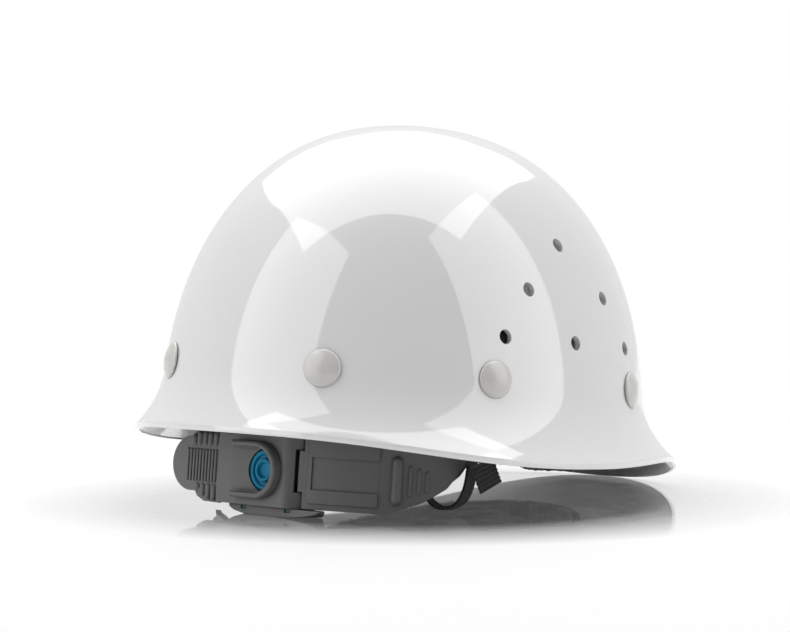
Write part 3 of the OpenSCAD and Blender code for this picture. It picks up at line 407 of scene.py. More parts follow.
def shellTree():
    counts = ("around", "outerRows", "innerRows")
    tree, s = newTree("shell by rule", **{size: "Int" if size in counts else "Float" for size in shell})
    rows = s["outerRows"] + s["innerRows"] + 4
    grid = wired(tree, "GeometryNodeMeshGrid",
                 {"Size X": 1.0, "Size Y": 1.0, "Vertices X": s["around"] + 1, "Vertices Y": rows})
    u, v = apart(tree, wired(tree, "GeometryNodeInputPosition"))[:2]
    row = ((v + 0.5) * (rows - 1)).op("ROUND")
    angle = (u + 0.5) * (2 * math.pi)
    inside = row.above(s["outerRows"] + 1.5)
    lip = row.above(s["outerRows"] + 0.5) * (1 - row.above(s["outerRows"] + 2.5))
    up = pick(inside, (1 - row / s["outerRows"]).clamped(0, 1),
              ((row - s["outerRows"] - 3) / s["innerRows"]).clamped(0, 1))
    rim = (s["rimMean"] + s["rimRise"] * angle.sin() - s["rimBow"] * (angle * 3).sin()
           - s["rimWave"] * (angle * 4).cos())
    low = rim + s["edgeHeight"]
    high = low + (s["crownHeight"] - low) * (1 - (1 - up) ** 2.2)

    def skin(a, z):
        across, ahead = a.cos(), a.sin()
        brim, crown = s["brimHeight"], s["crownHeight"]
        real = z - s["edgeHeight"] * ((brim - z) / brim).clamped(0, 1) ** 2.0
        share = (1 - (real / crown).clamped(0, 1) ** s["sideFullness"]) ** (1 / s["sideFullness"])
        behind = ahead.above(0)
        reach = s["brimSide"] * across ** 2.0 + pick(behind, s["brimFront"], s["brimRear"]) * ahead ** 2.0
        out = reach * ((brim - real) / brim).clamped(0, 1.5) ** s["brimCurl"]
        depth = pick(behind, s["frontLength"], s["rearLength"])
        power = 2 / s["planFullness"]
        x = s["halfWidth"] * share * across.sign() * across.abs() ** power + out * across
        y = depth * share * ahead.sign() * ahead.abs() ** power + out * ahead
        return x, y + s["crownSetback"] * (real / crown).clamped(0, 1), z

    def gap(first, second):
        ends = {k: together(tree, *skin(*end)) for k, end in enumerate((first, second))}
        return vectorMath(tree, "SUBTRACT", ends)

    # the way out of the skin, from small steps round and up, kept off the crown's very top
    near = high.op("MINIMUM", s["crownHeight"] * 0.99995)
    around = gap((angle + moulding["turnStep"], near), (angle - moulding["turnStep"], near))
    rise = gap((angle, near), (angle, near - moulding["riseStep"]))
    outward = vectorMath(tree, "NORMALIZE", {0: vectorMath(tree, "CROSS_PRODUCT", {0: around, 1: rise})})
    top = up.above(0.9999)
    level = vectorMath(tree, "SCALE", {0: outward, "Scale": 1 - top})
    outward = vectorMath(tree, "ADD", {0: level, 1: together(tree, z=top)})
    sunk = vectorMath(tree, "SCALE", {0: outward, "Scale": s["wall"] * inside})
    skinned = together(tree, *skin(angle, high))
    x, y, z = apart(tree, vectorMath(tree, "SUBTRACT", {0: skinned, 1: sunk}))
    place = together(tree, x, y, pick(lip, z, rim))
    moved = wired(tree, "GeometryNodeSetPosition", {"Geometry": grid, "Position": place})
    closed = wired(tree, "GeometryNodeMergeByDistance", {"Geometry": moved, "Distance": moulding["merge"]})
    return closeTree(tree, s, wired(tree, "GeometryNodeSetShadeSmooth", {"Geometry": closed}))


def limited(value, low, high):
    return max(low, min(value, high))


def facing(angle):
    # cosine and sine of an angle in degrees
    return math.cos(math.radians(angle)), math.sin(math.radians(angle))


def aside(way):
    # the level way a quarter turn round from another
    return Vector((-way.y, way.x, 0))


def powered(value, power):
    return math.copysign(abs(value) ** power, value)


def skinPoint(angle, z):
    # the same skin in plain numbers: a plan angle in degrees and a height give a point
    across, ahead = facing(angle)
    brim, crown = shell["brimHeight"], shell["crownHeight"]
    real = z - shell["edgeHeight"] * limited((brim - z) / brim, 0, 1) ** 2
    share = (1 - limited(real / crown, 0, 0.99999) ** shell["sideFullness"]) ** (1 / shell["sideFullness"])
    end, length = ("brimRear", "rearLength") if ahead > 0 else ("brimFront", "frontLength")
    reach = shell["brimSide"] * across ** 2 + shell[end] * ahead ** 2
    out = reach * limited((brim - real) / brim, 0, 1.5) ** shell["brimCurl"]
    power = 2 / shell["planFullness"]
    return Vector((shell["halfWidth"] * share * powered(across, power) + out * across,
                   shell[length] * share * powered(ahead, power) + out * ahead
                   + shell["crownSetback"] * limited(real / crown, 0, 1), z))


def skinOut(angle, z):
    around = skinPoint(angle + 0.5, z) - skinPoint(angle - 0.5, z)
    return around.cross(skinPoint(angle, z) - skinPoint(angle, z - moulding["riseStep"])).normalized()


def under(angle, z, depth):
    return skinPoint(angle, z) - depth * skinOut(angle, z)


def standUp(thing):
    # a mesh drawn in the upright frame's millimetres goes to its place
    thing.data.transform(stand @ Matrix.Scale(mm, 4))
    thing.data.update()
    return thing


def bevelSharp(thing, width, segments, limit):
    def bevel(work):
        sharp = [e for e in work.edges if e.is_manifold and e.calc_face_angle(0) > math.radians(limit)]
        bmesh.ops.bevel(work, geom=sharp, offset=width, segments=segments, affect="EDGES", profile=0.5,
                        clamp_overlap=True)

    return reworked(thing, bevel)


def surfaceOf(thing):
    # a smooth reading of a mesh: nearest point and its blended normal
    mesh = thing.data
    mesh.calc_loop_triangles()
    points = [v.co.copy() for v in mesh.vertices]
    normals = [v.normal.copy() for v in mesh.vertices]
    corners = [tuple(t.vertices) for t in mesh.loop_triangles]
    return BVHTree.FromPolygons(points, corners), points, normals, corners


def smoothNormal(surface, place):
    tree, points, normals, corners = surface
    spot, flat, index = tree.find_nearest(place)[:3]
    a, b, c = (points[i] for i in corners[index])
    full = (b - a).cross(c - a).length
    if full < 1e-14:
        return flat
    wa = (b - spot).cross(c - spot).length / full
    wb = (c - spot).cross(a - spot).length / full
    blend = sum((w * normals[i] for w, i in zip((wa, wb, 1 - wa - wb), corners[index])), Vector())
    return blend.normalized()


def keepSkinShading(thing, surface, limit):
    # after cutting, faces that lie on the old skin take its normals, and the cut walls keep their own
    mesh = thing.data
    corners = [Vector()] * len(mesh.loops)
    bound = math.cos(math.radians(limit))
    for face in mesh.polygons:
        onSkin = smoothNormal(surface, face.center).dot(face.normal) > bound
        for loop in face.loop_indices:
            at = mesh.vertices[mesh.loops[loop].vertex_index].co
            corners[loop] = smoothNormal(surface, at) if onSkin else face.normal
    mesh.normals_split_custom_set(corners)


vents = {"low": 54.0, "step": 22.7, "pitch": 46.0, "spread": 11.0, "centre": -3.0, "radius": 3.4,
         "lead": 0.35, "deep": 14.0, "sides": 48, "slope": 8, "overlap": 0.0004}


def onSpots(tree, s, piece):
    # a piece on every point, turned to the way out that the point carries
    turn = wired(tree, "GeometryNodeInputNamedAttribute", {"Name": "wayOut"}, data_type="FLOAT_VECTOR")
    aim = wired(tree, "FunctionNodeAlignRotationToVector", {"Vector": turn}, axis="Z")
    return wired(tree, "GeometryNodeInstanceOnPoints",
                 {"Points": s["Geometry"], "Instance": piece, "Rotation": aim})


def raised(tree, piece, height):
    return wired(tree, "GeometryNodeTransform", {"Geometry": piece, "Translation": together(tree, z=height)})


def seatTree():
    # a round bar whose inner end is the flat seat of a rivet's cap
    tree, s = newTree("rivet seats", radius="Float", deep="Float")
    bar = wired(tree, "GeometryNodeMeshCylinder",
                {"Vertices": rivet["seatSides"], "Radius": s["radius"], "Depth": s["deep"]}, "Mesh")
    return closeTree(tree, s, onSpots(tree, s, raised(tree, bar, s["deep"] * 0.5 - rivet["seatSink"])))


def cutterTree():
    # a round cutter with a slight lead at the skin
    tree, s = newTree("punched vents", radius="Float", lead="Float", deep="Float")
    sides, slope, overlap = (vents[k] for k in ("sides", "slope", "overlap"))
    bar = wired(tree, "GeometryNodeMeshCylinder",
                {"Vertices": sides, "Radius": s["radius"], "Depth": s["deep"]}, "Mesh")
    cone = wired(tree, "GeometryNodeMeshCone",
                 {"Vertices": sides, "Radius Bottom": s["radius"] - overlap,
                  "Radius Top": s["radius"] + s["lead"] * slope, "Depth": s["lead"] * slope + overlap}, "Mesh")
    both = addNode(tree, "GeometryNodeMeshBoolean", {"Mesh 2": bar}, operation="UNION", solver="EXACT")
    feed(both.inputs["Mesh 2"], raised(tree, cone, s["lead"] * -1))
    return closeTree(tree, s, onSpots(tree, s, both.outputs[0]))


def pointCloud(name, spots):
    # loose points with the way out of the surface at each
    mesh = bpy.data.meshes.new(name)
    mesh.from_pydata([tuple(p) for p, _ in spots], [], [])
    way = mesh.attributes.new("wayOut", "FLOAT_VECTOR", "POINT")
    way.data.foreach_set("vector", [c for _, n in spots for c in n])
    return mesh


def ventSpots(surface):
    # where level lines from beside the helmet meet the shell
    spots = []
    for side, row, i in [(side, row, i) for side in (-1, 1) for row in range(3) for i in range(3 - row)]:
        y = vents["centre"] + (i - (2 - row) / 2) * (vents["pitch"] + row * vents["spread"])
        z = vents["low"] + row * vents["step"]
        start = placed((side * 200.0, y, z))
        spot = surface[0].ray_cast(start, (placed((0, y, z)) - start).normalized())[0]
        spots.append((spot, smoothNormal(surface, spot)))
    return spots


rivet = {"count": 4, "first": 22.5, "step": 44.0, "height": 34.3, "capRadius": 8.65, "capHeight": 3.3,
         "capEdge": 1.0, "capRound": 0.85, "domeSteps": 14, "foot": 0.1, "shank": 2.5, "peen": 4.0,
         "peenHeight": 0.9, "reach": 9.2, "seatGap": 0.1, "seatCut": 6.0, "seatSides": 90, "seatSink": 0.00001}


def rivetAngle(row, side=1):
    return 270 - side * (rivet["first"] + row * rivet["step"])


def rivetSpots():
    high = rivet["height"]
    angles = [rivetAngle(row, side) for row in range(rivet["count"]) for side in (-1, 1)]
    return [(placed(skinPoint(a, high)), (standTurn @ skinOut(a, high)).normalized()) for a in angles]


def makeShell():
    look = finish["shell"]
    made = grown("shell skin", bpy.data.meshes.new("seed"), shellTree(), shell, look)
    rightWayOut(standUp(made))
    bevelSharp(made, moulding["round"], moulding["steps"], moulding["sharp"])
    made.data.shade_smooth()
    surface = surfaceOf(made)
    holes = grown("vent cutters", pointCloud("vent spots", ventSpots(surface)), cutterTree(),
                  {size: vents[size] * mm for size in ("radius", "lead", "deep")}, look)
    seats = grown("seat cutters", pointCloud("rivet spots", rivetSpots()), seatTree(),
                  {"radius": (rivet["capRadius"] + rivet["seatGap"]) * mm, "deep": rivet["seatCut"] * mm}, look)
    for tool in (seats, holes):
        cut = made.modifiers.new("cut", "BOOLEAN")
        cut.object, cut.operation, cut.solver = tool, "DIFFERENCE", "MANIFOLD"
        applied(made)
        bpy.data.objects.remove(tool)
    sliver = moulding["sliver"]
    reworked(made, lambda work: bmesh.ops.dissolve_degenerate(work, dist=sliver, edges=work.edges))
    keepSkinShading(made, surface, moulding["skinAngle"])
    made.name = "shell_skin"
    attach(made, "helmet")
    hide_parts("shell")
    print("shell made", len(made.data.polygons))


makeShell()


# Rivets


def lathed(name, outline, material, sides=96):
    # a closed outline of [radius, height] turned round +Z, its first and last points on the axis
    work = bmesh.new()
    turns = [2 * math.pi * i / sides for i in range(sides)]
    rings = []
    for radius, height in outline:
        if radius < 1e-6:
            rings.append([work.verts.new((0, 0, height * mm))] * sides)
        else:
            rings.append([work.verts.new((radius * mm * math.cos(t), radius * mm * math.sin(t), height * mm))
                          for t in turns])
    for low, high in zip(rings, rings[1:]):
        for i in range(sides):
            k = (i + 1) % sides
            corners = list(dict.fromkeys((low[i], low[k], high[k], high[i])))
            if len(corners) > 2:
                work.faces.new(corners)
    bmesh.ops.recalc_face_normals(work, faces=work.faces)
    made = fromWork(name, work)
    made.data.materials.append(material)
    made.data.shade_smooth()
    return made


def setOnSpots(name, piece, spots, material):
    tree, s = newTree("pieces on spots", piece="Object")
    shape = wired(tree, "GeometryNodeObjectInfo", {"Object": s["piece"]}, "Geometry")
    closeTree(tree, s, onSpots(tree, s, shape))
    made = grown(name, pointCloud(name + " spots", spots), tree, {"piece": piece}, material)
    bpy.data.objects.remove(piece)
    return made


def roundedStep(outline, corner, cut, steps=4):
    # replaces one corner of an outline by a short arc
    a, b, c = (Vector((*outline[corner + i], 0)) for i in (-1, 0, 1))
    p, q = b + (a - b).normalized() * cut, b + (c - b).normalized() * cut
    arc = []
    for i in range(steps + 1):
        t = i / steps
        m = p * (1 - t) ** 2 + b * 2 * t * (1 - t) + q * t ** 2
        arc.append((m.x, m.y))
    return outline[:corner] + arc + outline[corner + 1:]


def makeRivets():
    cap, foot, shank, peen, low = (rivet[k] for k in ("capRadius", "foot", "shank", "peen", "reach"))
    rise = rivet["capHeight"] - rivet["capEdge"]
    dome = (cap ** 2 + rise ** 2) / (2 * rise)
    steps = rivet["domeSteps"]
    angles = [math.asin(cap / dome) * i / steps for i in (*range(steps - 1), steps)]
    outline = [(dome * math.sin(a), rivet["capHeight"] - dome + dome * math.cos(a)) for a in angles]
    outline[0] = (0, rivet["capHeight"])
    corner = len(outline) - 1
    head = rivet["peenHeight"] - low
    outline += [(cap, foot), (shank, foot), (shank, head), (peen - 0.5, head), (peen, 0.5 - low),
                (peen - 0.6, 0.1 - low), (shank - 0.8, -low), (0, -low - 0.1)]
    outline = roundedStep(outline, corner, rivet["capRound"], 7)
    made = setOnSpots("rivet_caps", lathed("cap", outline, finish["rivet"]), rivetSpots(), finish["rivet"])
    made.data.shade_smooth()
    made.data.set_sharp_from_angle(angle=math.radians(40))
    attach(made, "helmet")
    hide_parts("rivets")


makeRivets()
print("rivets made")


# Webbing: every strap follows a smooth line through its points


def strapTree():
    sizes = ("width", "thickness", "step", "ribPitch", "ribDepth", "selvage")
    look = {"lineSteps": 16, "corner": 0.42, "cornerSteps": 3, "sides": 56, "grooveAt": 0.0019,
            "grooveHalf": 0.0006, "plainEdge": 0.0022, "ribFade": 0.0005, "scallop": 0.8}
    tree, s = newTree("woven strap", **dict.fromkeys(sizes, "Float"))

    def stored(geometry, name, value, kind="FLOAT", domain="POINT"):
        return wired(tree, "GeometryNodeStoreNamedAttribute",
                     {"Geometry": geometry, "Name": name, "Value": value}, data_type=kind, domain=domain)

    def named(name, kind="FLOAT"):
        return wired(tree, "GeometryNodeInputNamedAttribute", {"Name": name}, data_type=kind)

    line = wired(tree, "GeometryNodeMeshToCurve", {"Mesh": s["Geometry"]})
    line = wired(tree, "GeometryNodeCurveSplineType", {"Curve": line}, spline_type="CATMULL_ROM")
    line = wired(tree, "GeometryNodeSetSplineResolution", {"Geometry": line, "Resolution": look["lineSteps"]})
    line = wired(tree, "GeometryNodeResampleCurve", {"Curve": line, "Length": s["step"]}, mode="LENGTH")
    line = wired(tree, "GeometryNodeSetCurveNormal",
                 {"Curve": line, "Normal": named("acrossWay", "FLOAT_VECTOR")}, mode="FREE")
    line = stored(line, "along", wired(tree, "GeometryNodeSplineParameter", None, "Length"))
    section = wired(tree, "GeometryNodeCurvePrimitiveQuadrilateral",
                    {"Width": s["width"], "Height": s["thickness"]})
    section = wired(tree, "GeometryNodeFilletCurve",
                    {"Curve": section, "Radius": s["thickness"] * look["corner"], "Count": look["cornerSteps"]},
                    mode="POLY")
    section = wired(tree, "GeometryNodeResampleCurve", {"Curve": section, "Count": look["sides"]})
    x, y = apart(tree, wired(tree, "GeometryNodeInputPosition"))[:2]
    section = stored(section, "across", x)
    # the selvage is a slightly thicker edge with a groove beside it
    inwards = s["width"] * 0.5 - x.abs()
    groove = (1 - ((inwards - look["grooveAt"]) / look["grooveHalf"]).abs()).clamped(0, 1) * s["selvage"]
    section = wired(tree, "GeometryNodeSetPosition",
                    {"Geometry": section, "Position": together(tree, x, y * (1 - groove))})
    band = wired(tree, "GeometryNodeCurveToMesh", {"Curve": line, "Profile Curve": section, "Fill Caps": True})
    across, along = named("across"), named("along")
    wave = (along * (2 * math.pi) / s["ribPitch"]).sin()
    flat = ((s["width"] * 0.5 - look["plainEdge"] - across.abs()) / look["ribFade"]).clamped(0, 1)
    ribs = wave * s["ribDepth"] * flat
    scallop = wave * s["ribDepth"] * look["scallop"] * (1 - flat)
    out = vectorMath(tree, "SCALE", {0: wired(tree, "GeometryNodeInputNormal"), "Scale": ribs + scallop})
    band = wired(tree, "GeometryNodeSetPosition", {"Geometry": band, "Offset": out})
    band = stored(band, "UVMap", together(tree, across, along), "FLOAT2", "CORNER")
    return closeTree(tree, s, wired(tree, "GeometryNodeSetShadeSmooth", {"Geometry": band}))


wovenTree = strapTree()
webbing = {"crown": {"width": 20.0, "thickness": 1.4, "look": "webbing"},
           "hanger": {"width": 14.0, "thickness": 1.4, "look": "webbing"},
           "chin": {"width": 14.0, "thickness": 1.3, "look": "chin"},
           "step": 1.6, "ribPitch": 2.0, "ribDepth": 0.2, "selvage": 0.25, "flatRibs": 0.35}


def strapLine(points, ways):
    # the middle line of a strap in the row's frame, with the way across it at each point
    mesh = bpy.data.meshes.new("strap line")
    places = [placed(p) for p in points]
    last = len(places) - 1
    mesh.from_pydata([tuple(p) for p in places], [(i, i + 1) for i in range(last)], [])
    across = mesh.attributes.new("acrossWay", "FLOAT_VECTOR", "POINT")
    flat = []
    for i, way in enumerate(ways):
        run = (places[min(i + 1, last)] - places[max(i - 1, 0)]).normalized()
        wide = standTurn @ Vector(way)
        flat += list((wide - wide.dot(run) * run).normalized())
    across.data.foreach_set("vector", flat)
    return mesh


def wovenStrap(name, points, ways, kind, ribs=0.0):
    size = webbing[kind]
    step = webbing["ribPitch"] / 8 if ribs else webbing["step"]
    lengths = {"width": size["width"], "thickness": size["thickness"], "step": step,
               "ribPitch": webbing["ribPitch"], "ribDepth": webbing["ribDepth"] * ribs}
    values = {**{k: length * mm for k, length in lengths.items()}, "selvage": webbing["selvage"]}
    return rightWayOut(grown(name, strapLine(points, ways), wovenTree, values, finish[size["look"]]))


def joined(name, things):
    work = bmesh.new()
    material = things[0].data.materials[0]
    for thing in things:
        work.from_mesh(thing.data)
        bpy.data.objects.remove(thing)
    made = fromWork(name, work)
    made.data.materials.append(material)
    return made


cradle = {"height": 112.0, "fullness": 2.3, "order": [2, 0, 1, 3], "room": 0.9, "lie": 11.0, "wallGap": 1.1,
          "arcSteps": 18, "hangerLie": 9.0, "hangerLow": 12.0, "hangerBend": 23.0, "seat": 0.3}
strapLayer = cradle["wallGap"] + webbing["crown"]["thickness"] / 2
hangerLayer = strapLayer + webbing["crown"]["thickness"] + 0.2


def crownLine(k):
    angles = [rivetAngle(k), rivetAngle(rivet["count"] - 1 - k, -1)]
    depth = shell["wall"] + strapLayer
    heights = [rivet["height"] + lie for lie in (-cradle["lie"], 0, cradle["lie"])]
    start = [under(angles[0], z, depth) for z in heights]
    finishRun = [under(angles[1], z, depth) for z in reversed(heights)]
    foot, far = start[2], finishRun[0]
    top = cradle["height"] + cradle["order"][k] * (webbing["crown"]["thickness"] + cradle["room"])
    full = cradle["fullness"]
    leave = math.degrees(math.asin((foot.z / top) ** (full / 2)))
    spreadOut = 1 / powered(facing(leave)[0], 2 / full)
    swing = (180 - 2 * leave) / cradle["arcSteps"]
    span = (foot - far).normalized()
    out = [skinOut(a, rivet["height"]) for a in angles]
    ways = [aside(out[0]).normalized(), -aside(out[1]).normalized()]
    arch, turns = [], []
    for i in range(1, cradle["arcSteps"]):
        a = leave + i * swing
        m = (foot + far) / 2 + (foot - far) / 2 * spreadOut * powered(facing(a)[0], 2 / full)
        arch.append(Vector((m.x, m.y, top * facing(a)[1] ** (2 / full))))
        mixed = facing(90 * (1 - abs(a - 90) / (90 - leave)))[1] ** 0.5
        turns.append((ways[0] if a < 90 else ways[1]) * (1 - mixed) + aside(span) * mixed)
    return start + arch + finishRun, [ways[0]] * 3 + turns + [ways[1]] * 3


for k in range(rivet["count"]):
    strap = wovenStrap(f"crown_webbing_{k + 1}", *crownLine(k), "crown")
    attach(strap, "helmet")
    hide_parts(f"crown_strap_{k + 1}")

band = {"rearRadius": 72.2, "rearCentre": 21.0, "frontRadius": 58.0, "frontCentre": 44.0}


def bandNear(p):
    # the nearest point of the headband's outside to a point on the wearer's right, and the way out
    turn = 90 + math.degrees(math.asin((band["rearRadius"] - band["frontRadius"])
                                       / (band["rearCentre"] + band["frontCentre"])))
    back, front = Vector((0, band["rearCentre"])), Vector((0, -band["frontCentre"]))
    q = Vector((p.x, p.y))
    corner = Vector((-facing(turn)[1], facing(turn)[0]))
    if math.degrees(math.atan2(-q.x, q.y - back.y)) <= turn:
        out = (q - back).normalized()
        return back + band["rearRadius"] * out, out
    if math.degrees(math.atan2(-q.x, q.y - front.y)) >= turn:
        out = (q - front).normalized()
        return front + band["frontRadius"] * out, out
    begin = back + band["rearRadius"] * corner
    run = Vector((corner.y, -corner.x))
    return begin + (q - begin).dot(run) * run, corner


def hangerLine(k):
    angle = rivetAngle(k)
    depth = shell["wall"] + hangerLayer
    near, out = bandNear(under(angle, rivet["height"], depth))
    lie = webbing["hanger"]["thickness"] / 2 + cradle["seat"]
    top = [under(angle, rivet["height"] + z, depth) for z in (cradle["hangerLie"], 0, 0.5 - cradle["hangerLie"])]

    def byBand(d, z):
        return Vector((near.x + (lie + d) * out.x, near.y + (lie + d) * out.y, z))

    bend = cradle["hangerBend"]
    low = [byBand(2.5, bend + 2), byBand(0, bend - 2), byBand(0, cradle["hangerLow"])]
    wallWay = aside(skinOut(angle, rivet["height"])).normalized()
    return top + low, [wallWay] * 3 + [aside(out)] * 3


def mirroredLine(points, ways):
    return [Vector((-p.x, p.y, p.z)) for p in points], [Vector((w.x, -w.y, -w.z)) for w in ways]


hangers = []
for k in range(3):
    line = hangerLine(k)
    hangers.append(wovenStrap(f"hanger {k}", *line, "hanger"))
    hangers.append(wovenStrap(f"hanger {k} left", *mirroredLine(*line), "hanger"))
hangerWebbing = joined("hanger_webbing", hangers)
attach(hangerWebbing, "helmet")
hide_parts("strap_hangers")
print("cradle webbing made")


def bandPoint(angle, out, z):
    # a point round the nape, as far out from the headband as asked
    turn = facing(angle)
    radius = band["rearRadius"] + out
    return Vector((-radius * turn[1], band["rearCentre"] + radius * turn[0], z))


def levelWays(angles):
    return [Vector((*facing(a), 0)) for a in angles]


chin = {"angle": 86.0, "sliderTurn": 56.0, "slider": (80.2, 12.0, 0.6), "slot": 7.9,
        "tailWay": (0.1, 0.9, -0.42),
        "tail": [(81.3, 12.8, -14.7), (80.1, 12.4, -11), (78.9, 12, -7), (78, 11.8, -3.4)],
        "run": [(79.9, 11.2, 14.2), (81.6, 9.8, 17.4), (87.8, 4.2, 26), (88.8, -1, 28.6), (88.3, -5.6, 25),
                (87.4, -7.2, 15), (86.8, -7.6, 0), (85.9, -7.8, -13), (83.7, -9.1, -21), (79.2, -11.8, -25.2),
                (73.1, -14.2, -24.6), (69, -15.6, -20.6), (66.3, -16.3, -13), (63.2, -15.9, -4), (61.4, -15.7, 2.3)],
        "turns": [56, 68, 84, 92, 100, 108, 112, 112, 112, 112, 114, 120, 126, 130, 134],
        "left": [(0.95, 12), (0.95, 22), (0.7, 26.6), (-2, 28.2), (-4.8, 26.6), (-6.8, 21), (-8.2, 8)]}


def makeChinWebbing():
    half = webbing["flatRibs"]
    tail = [bandPoint(*p) for p in chin["tail"]]
    tail = wovenStrap("tail", tail, [chin["tailWay"]] * len(tail), "chin", 1.0)
    run = wovenStrap("run", [bandPoint(*p) for p in chin["run"]], levelWays(chin["turns"]), "chin", half)
    right = joined("chin_webbing_right", [tail, run])
    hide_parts("chin_strap_right")
    angle = chin["angle"]
    lie = cradle["seat"] + webbing["chin"]["thickness"] / 2
    slot = bandPoint(*chin["slider"]) + Vector((0, 0, chin["slot"]))
    sideways = aside(Vector(facing(chin["sliderTurn"])))
    points = [bandPoint(angle, lie, 23.5), bandPoint(angle, lie, 14.5), bandPoint(angle, lie + 3, 12.2),
              slot - 4.5 * sideways + Vector((0, 0, 1.2)), slot + 0.8 * sideways]
    anchor = wovenStrap("chin_webbing_anchor", points, levelWays([angle] * 3 + [chin["sliderTurn"]] * 2),
                        "chin", half)
    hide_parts("chin_anchor")
    line = [bandPoint(angle, *p) for p in chin["left"]]
    left = wovenStrap("chin_webbing_left", *mirroredLine(line, levelWays([angle] * len(line))), "chin", half)
    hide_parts("chin_strap_left")
    for piece in (right, anchor, left):
        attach(piece, "helmet")


makeChinWebbing()
print("chin webbing made")


# Moulded pieces: the CAD's own shapes get their finishes, the key is made anew and its springs are copied

for look, names in {"band": ["headband"], "arm": ["left_arm", "right_arm"],
                    "housing": ["housing_front", "housing_back"], "carriage": ["lock_carriage"],
                    "small": ["band_studs", "ear_pins", "chin_studs", "chin_slider", "buckle_socket",
                              "buckle_plug"], "zinc": ["rivet_washers", "key_springs"]}.items():
    for name in names:
        nodes[name].data.materials.clear()
        nodes[name].data.materials.append(finish[look])

key = {"radius": 9.3, "flange": 1.4, "flangeThickness": 1.5, "ring": 5.1, "ringProud": 1.1, "recess": 2.7,
       "faceOut": 2.5, "armOuter": 75.0, "wall": 1.8, "pad": 1.3, "padGap": 1.8, "middle": -13.5,
       "floor": 1.5, "dish": 1.6, "dishEdge": 0.9, "rimWidth": 1.7, "rimFoot": 2.1, "ringFoot": 0.5,
       "ringWidth": 1.2, "ringInner": 1.8,
       "rounds": ((10, 0.5), (9, 0.35), (8, 0.35), (7, 0.4), (6, 0.4), (5, 0.3), (4, 0.5))}


def makeKey():
    # a dished face with a raised ring inside a raised rim, the corners of its face rounded as a mould leaves it
    face = band["rearCentre"] + key["armOuter"] + key["faceOut"]
    back = face - key["wall"] - key["pad"] - key["padGap"]
    front = face - key["recess"] - back
    top, low, ring, rim = front + key["ringProud"], front - key["floor"], key["ring"], key["radius"]
    foot, step = rim + key["flange"], key["flangeThickness"]
    outline = [(0, 0), (foot, 0), (foot, step), (rim, step), (rim, front), (rim - key["rimWidth"], front),
               (rim - key["rimFoot"], low), (ring + key["ringFoot"], low), (ring, top),
               (ring - key["ringWidth"], top), (ring - key["ringInner"], front - key["dishEdge"]),
               (0, front - key["dish"])]
    for corner, cut in key["rounds"]:
        outline = roundedStep(outline, corner, cut)
    made = lathed("release_key", outline, finish["key"])
    turn = Matrix.Translation((0, back * mm, key["middle"] * mm)) @ Matrix.Rotation(math.radians(-90), 4, "X")
    made.data.transform(stand @ turn)
    made.data.set_sharp_from_angle(angle=math.radians(50))
    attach(made, "key")
    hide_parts("release_button")


def makeSprings():
    # a copy of the springs, kept on the helmet
    press = jointNamed("key_press")
    made = linked("spring_coils", nodes["key_springs"].data.copy())
    way = Vector(press["axis"]).normalized()
    reach = [v.co.dot(way) for v in made.data.vertices]
    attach(made, "helmet")
    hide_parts("key_springs")
    1 - press["range_m"][1] / (max(reach) - min(reach))
    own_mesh(made)


makeKey()
makeSprings()
print("mouldings dressed")


# Pads

pads = {"crown": {"voxel": 1.8, "inset": 0.5, "cap": 0.9},
        "nape": {"voxel": 1.4, "inset": 0.4, "cap": 0.6},
        "sweat": {"voxel": 1.25, "inset": 0.3, "cap": 0.6},
        "stiffness": 8.0, "frames": 20, "ruffle": 0.9, "rufflePitch": 3.1, "ruffleFrom": -5.2,
        "ruffleFade": 1.5, "wander": 0.6, "taperTop": 8, "taperFade": 14,
        "seam": 0.7, "seamWidth": 1.2, "seamAt": 19.5, "taper": 14.0, "taperRise": 3.0}


def merged(work):
    # the CAD's corners joined and its flat faces made whole
    bmesh.ops.remove_doubles(work, verts=work.verts, dist=0.000004)
    bmesh.ops.dissolve_limit(work, angle_limit=math.radians(0.7), verts=work.verts, edges=work.edges)


def blownUp(made):
    cloth = made.modifiers.new("cloth", "CLOTH")
    stiff = pads["stiffness"]
    for name, value in {"quality": 5, "mass": 0.2, "tension_stiffness": stiff, "compression_stiffness": stiff,
                        "shear_stiffness": stiff / 3, "bending_stiffness": 0.5, "use_pressure": True,
                        "uniform_pressure_force": 4.0}.items():
        setattr(cloth.settings, name, value)
    cloth.settings.effector_weights.gravity = 0.0
    cloth.collision_settings.use_collision = False
    scene = bpy.context.scene
    for number in range(1, pads["frames"] + 1):
        scene.frame_set(number)
    applied(made)
    scene.frame_set(1)


def swollen(name, node, look, size):
    # remeshed, shrunk a little, then blown up as cloth, with no point moved further than the cap
    work = bmesh.new()
    work.from_mesh(nodes[node].data)
    merged(work)
    made = fromWork(name, work)
    made.data.materials.append(finish[look])
    remesh = made.modifiers.new("remesh", "REMESH")
    remesh.mode = "VOXEL"
    remesh.voxel_size = size["voxel"] * mm
    mesh = applied(made).data
    first = [v.co.copy() for v in mesh.vertices]
    for v, n in zip(mesh.vertices, [v.normal.copy() for v in mesh.vertices]):
        v.co = v.co - n * size["inset"] * mm
    blownUp(made)
    mesh = made.data
    for v, home in zip(mesh.vertices, first):
        gap = v.co - home
        if gap.length > size["cap"] * mm:
            v.co = home + gap.normalized() * size["cap"] * mm
    mesh.update()
    return made


def finishPad(made, node):
    smooth = made.modifiers.new("finer", "SUBSURF")
    smooth.levels = smooth.render_levels = 1
    applied(made)
    made.data.shade_smooth()
    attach(made, "helmet")
    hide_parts(node)


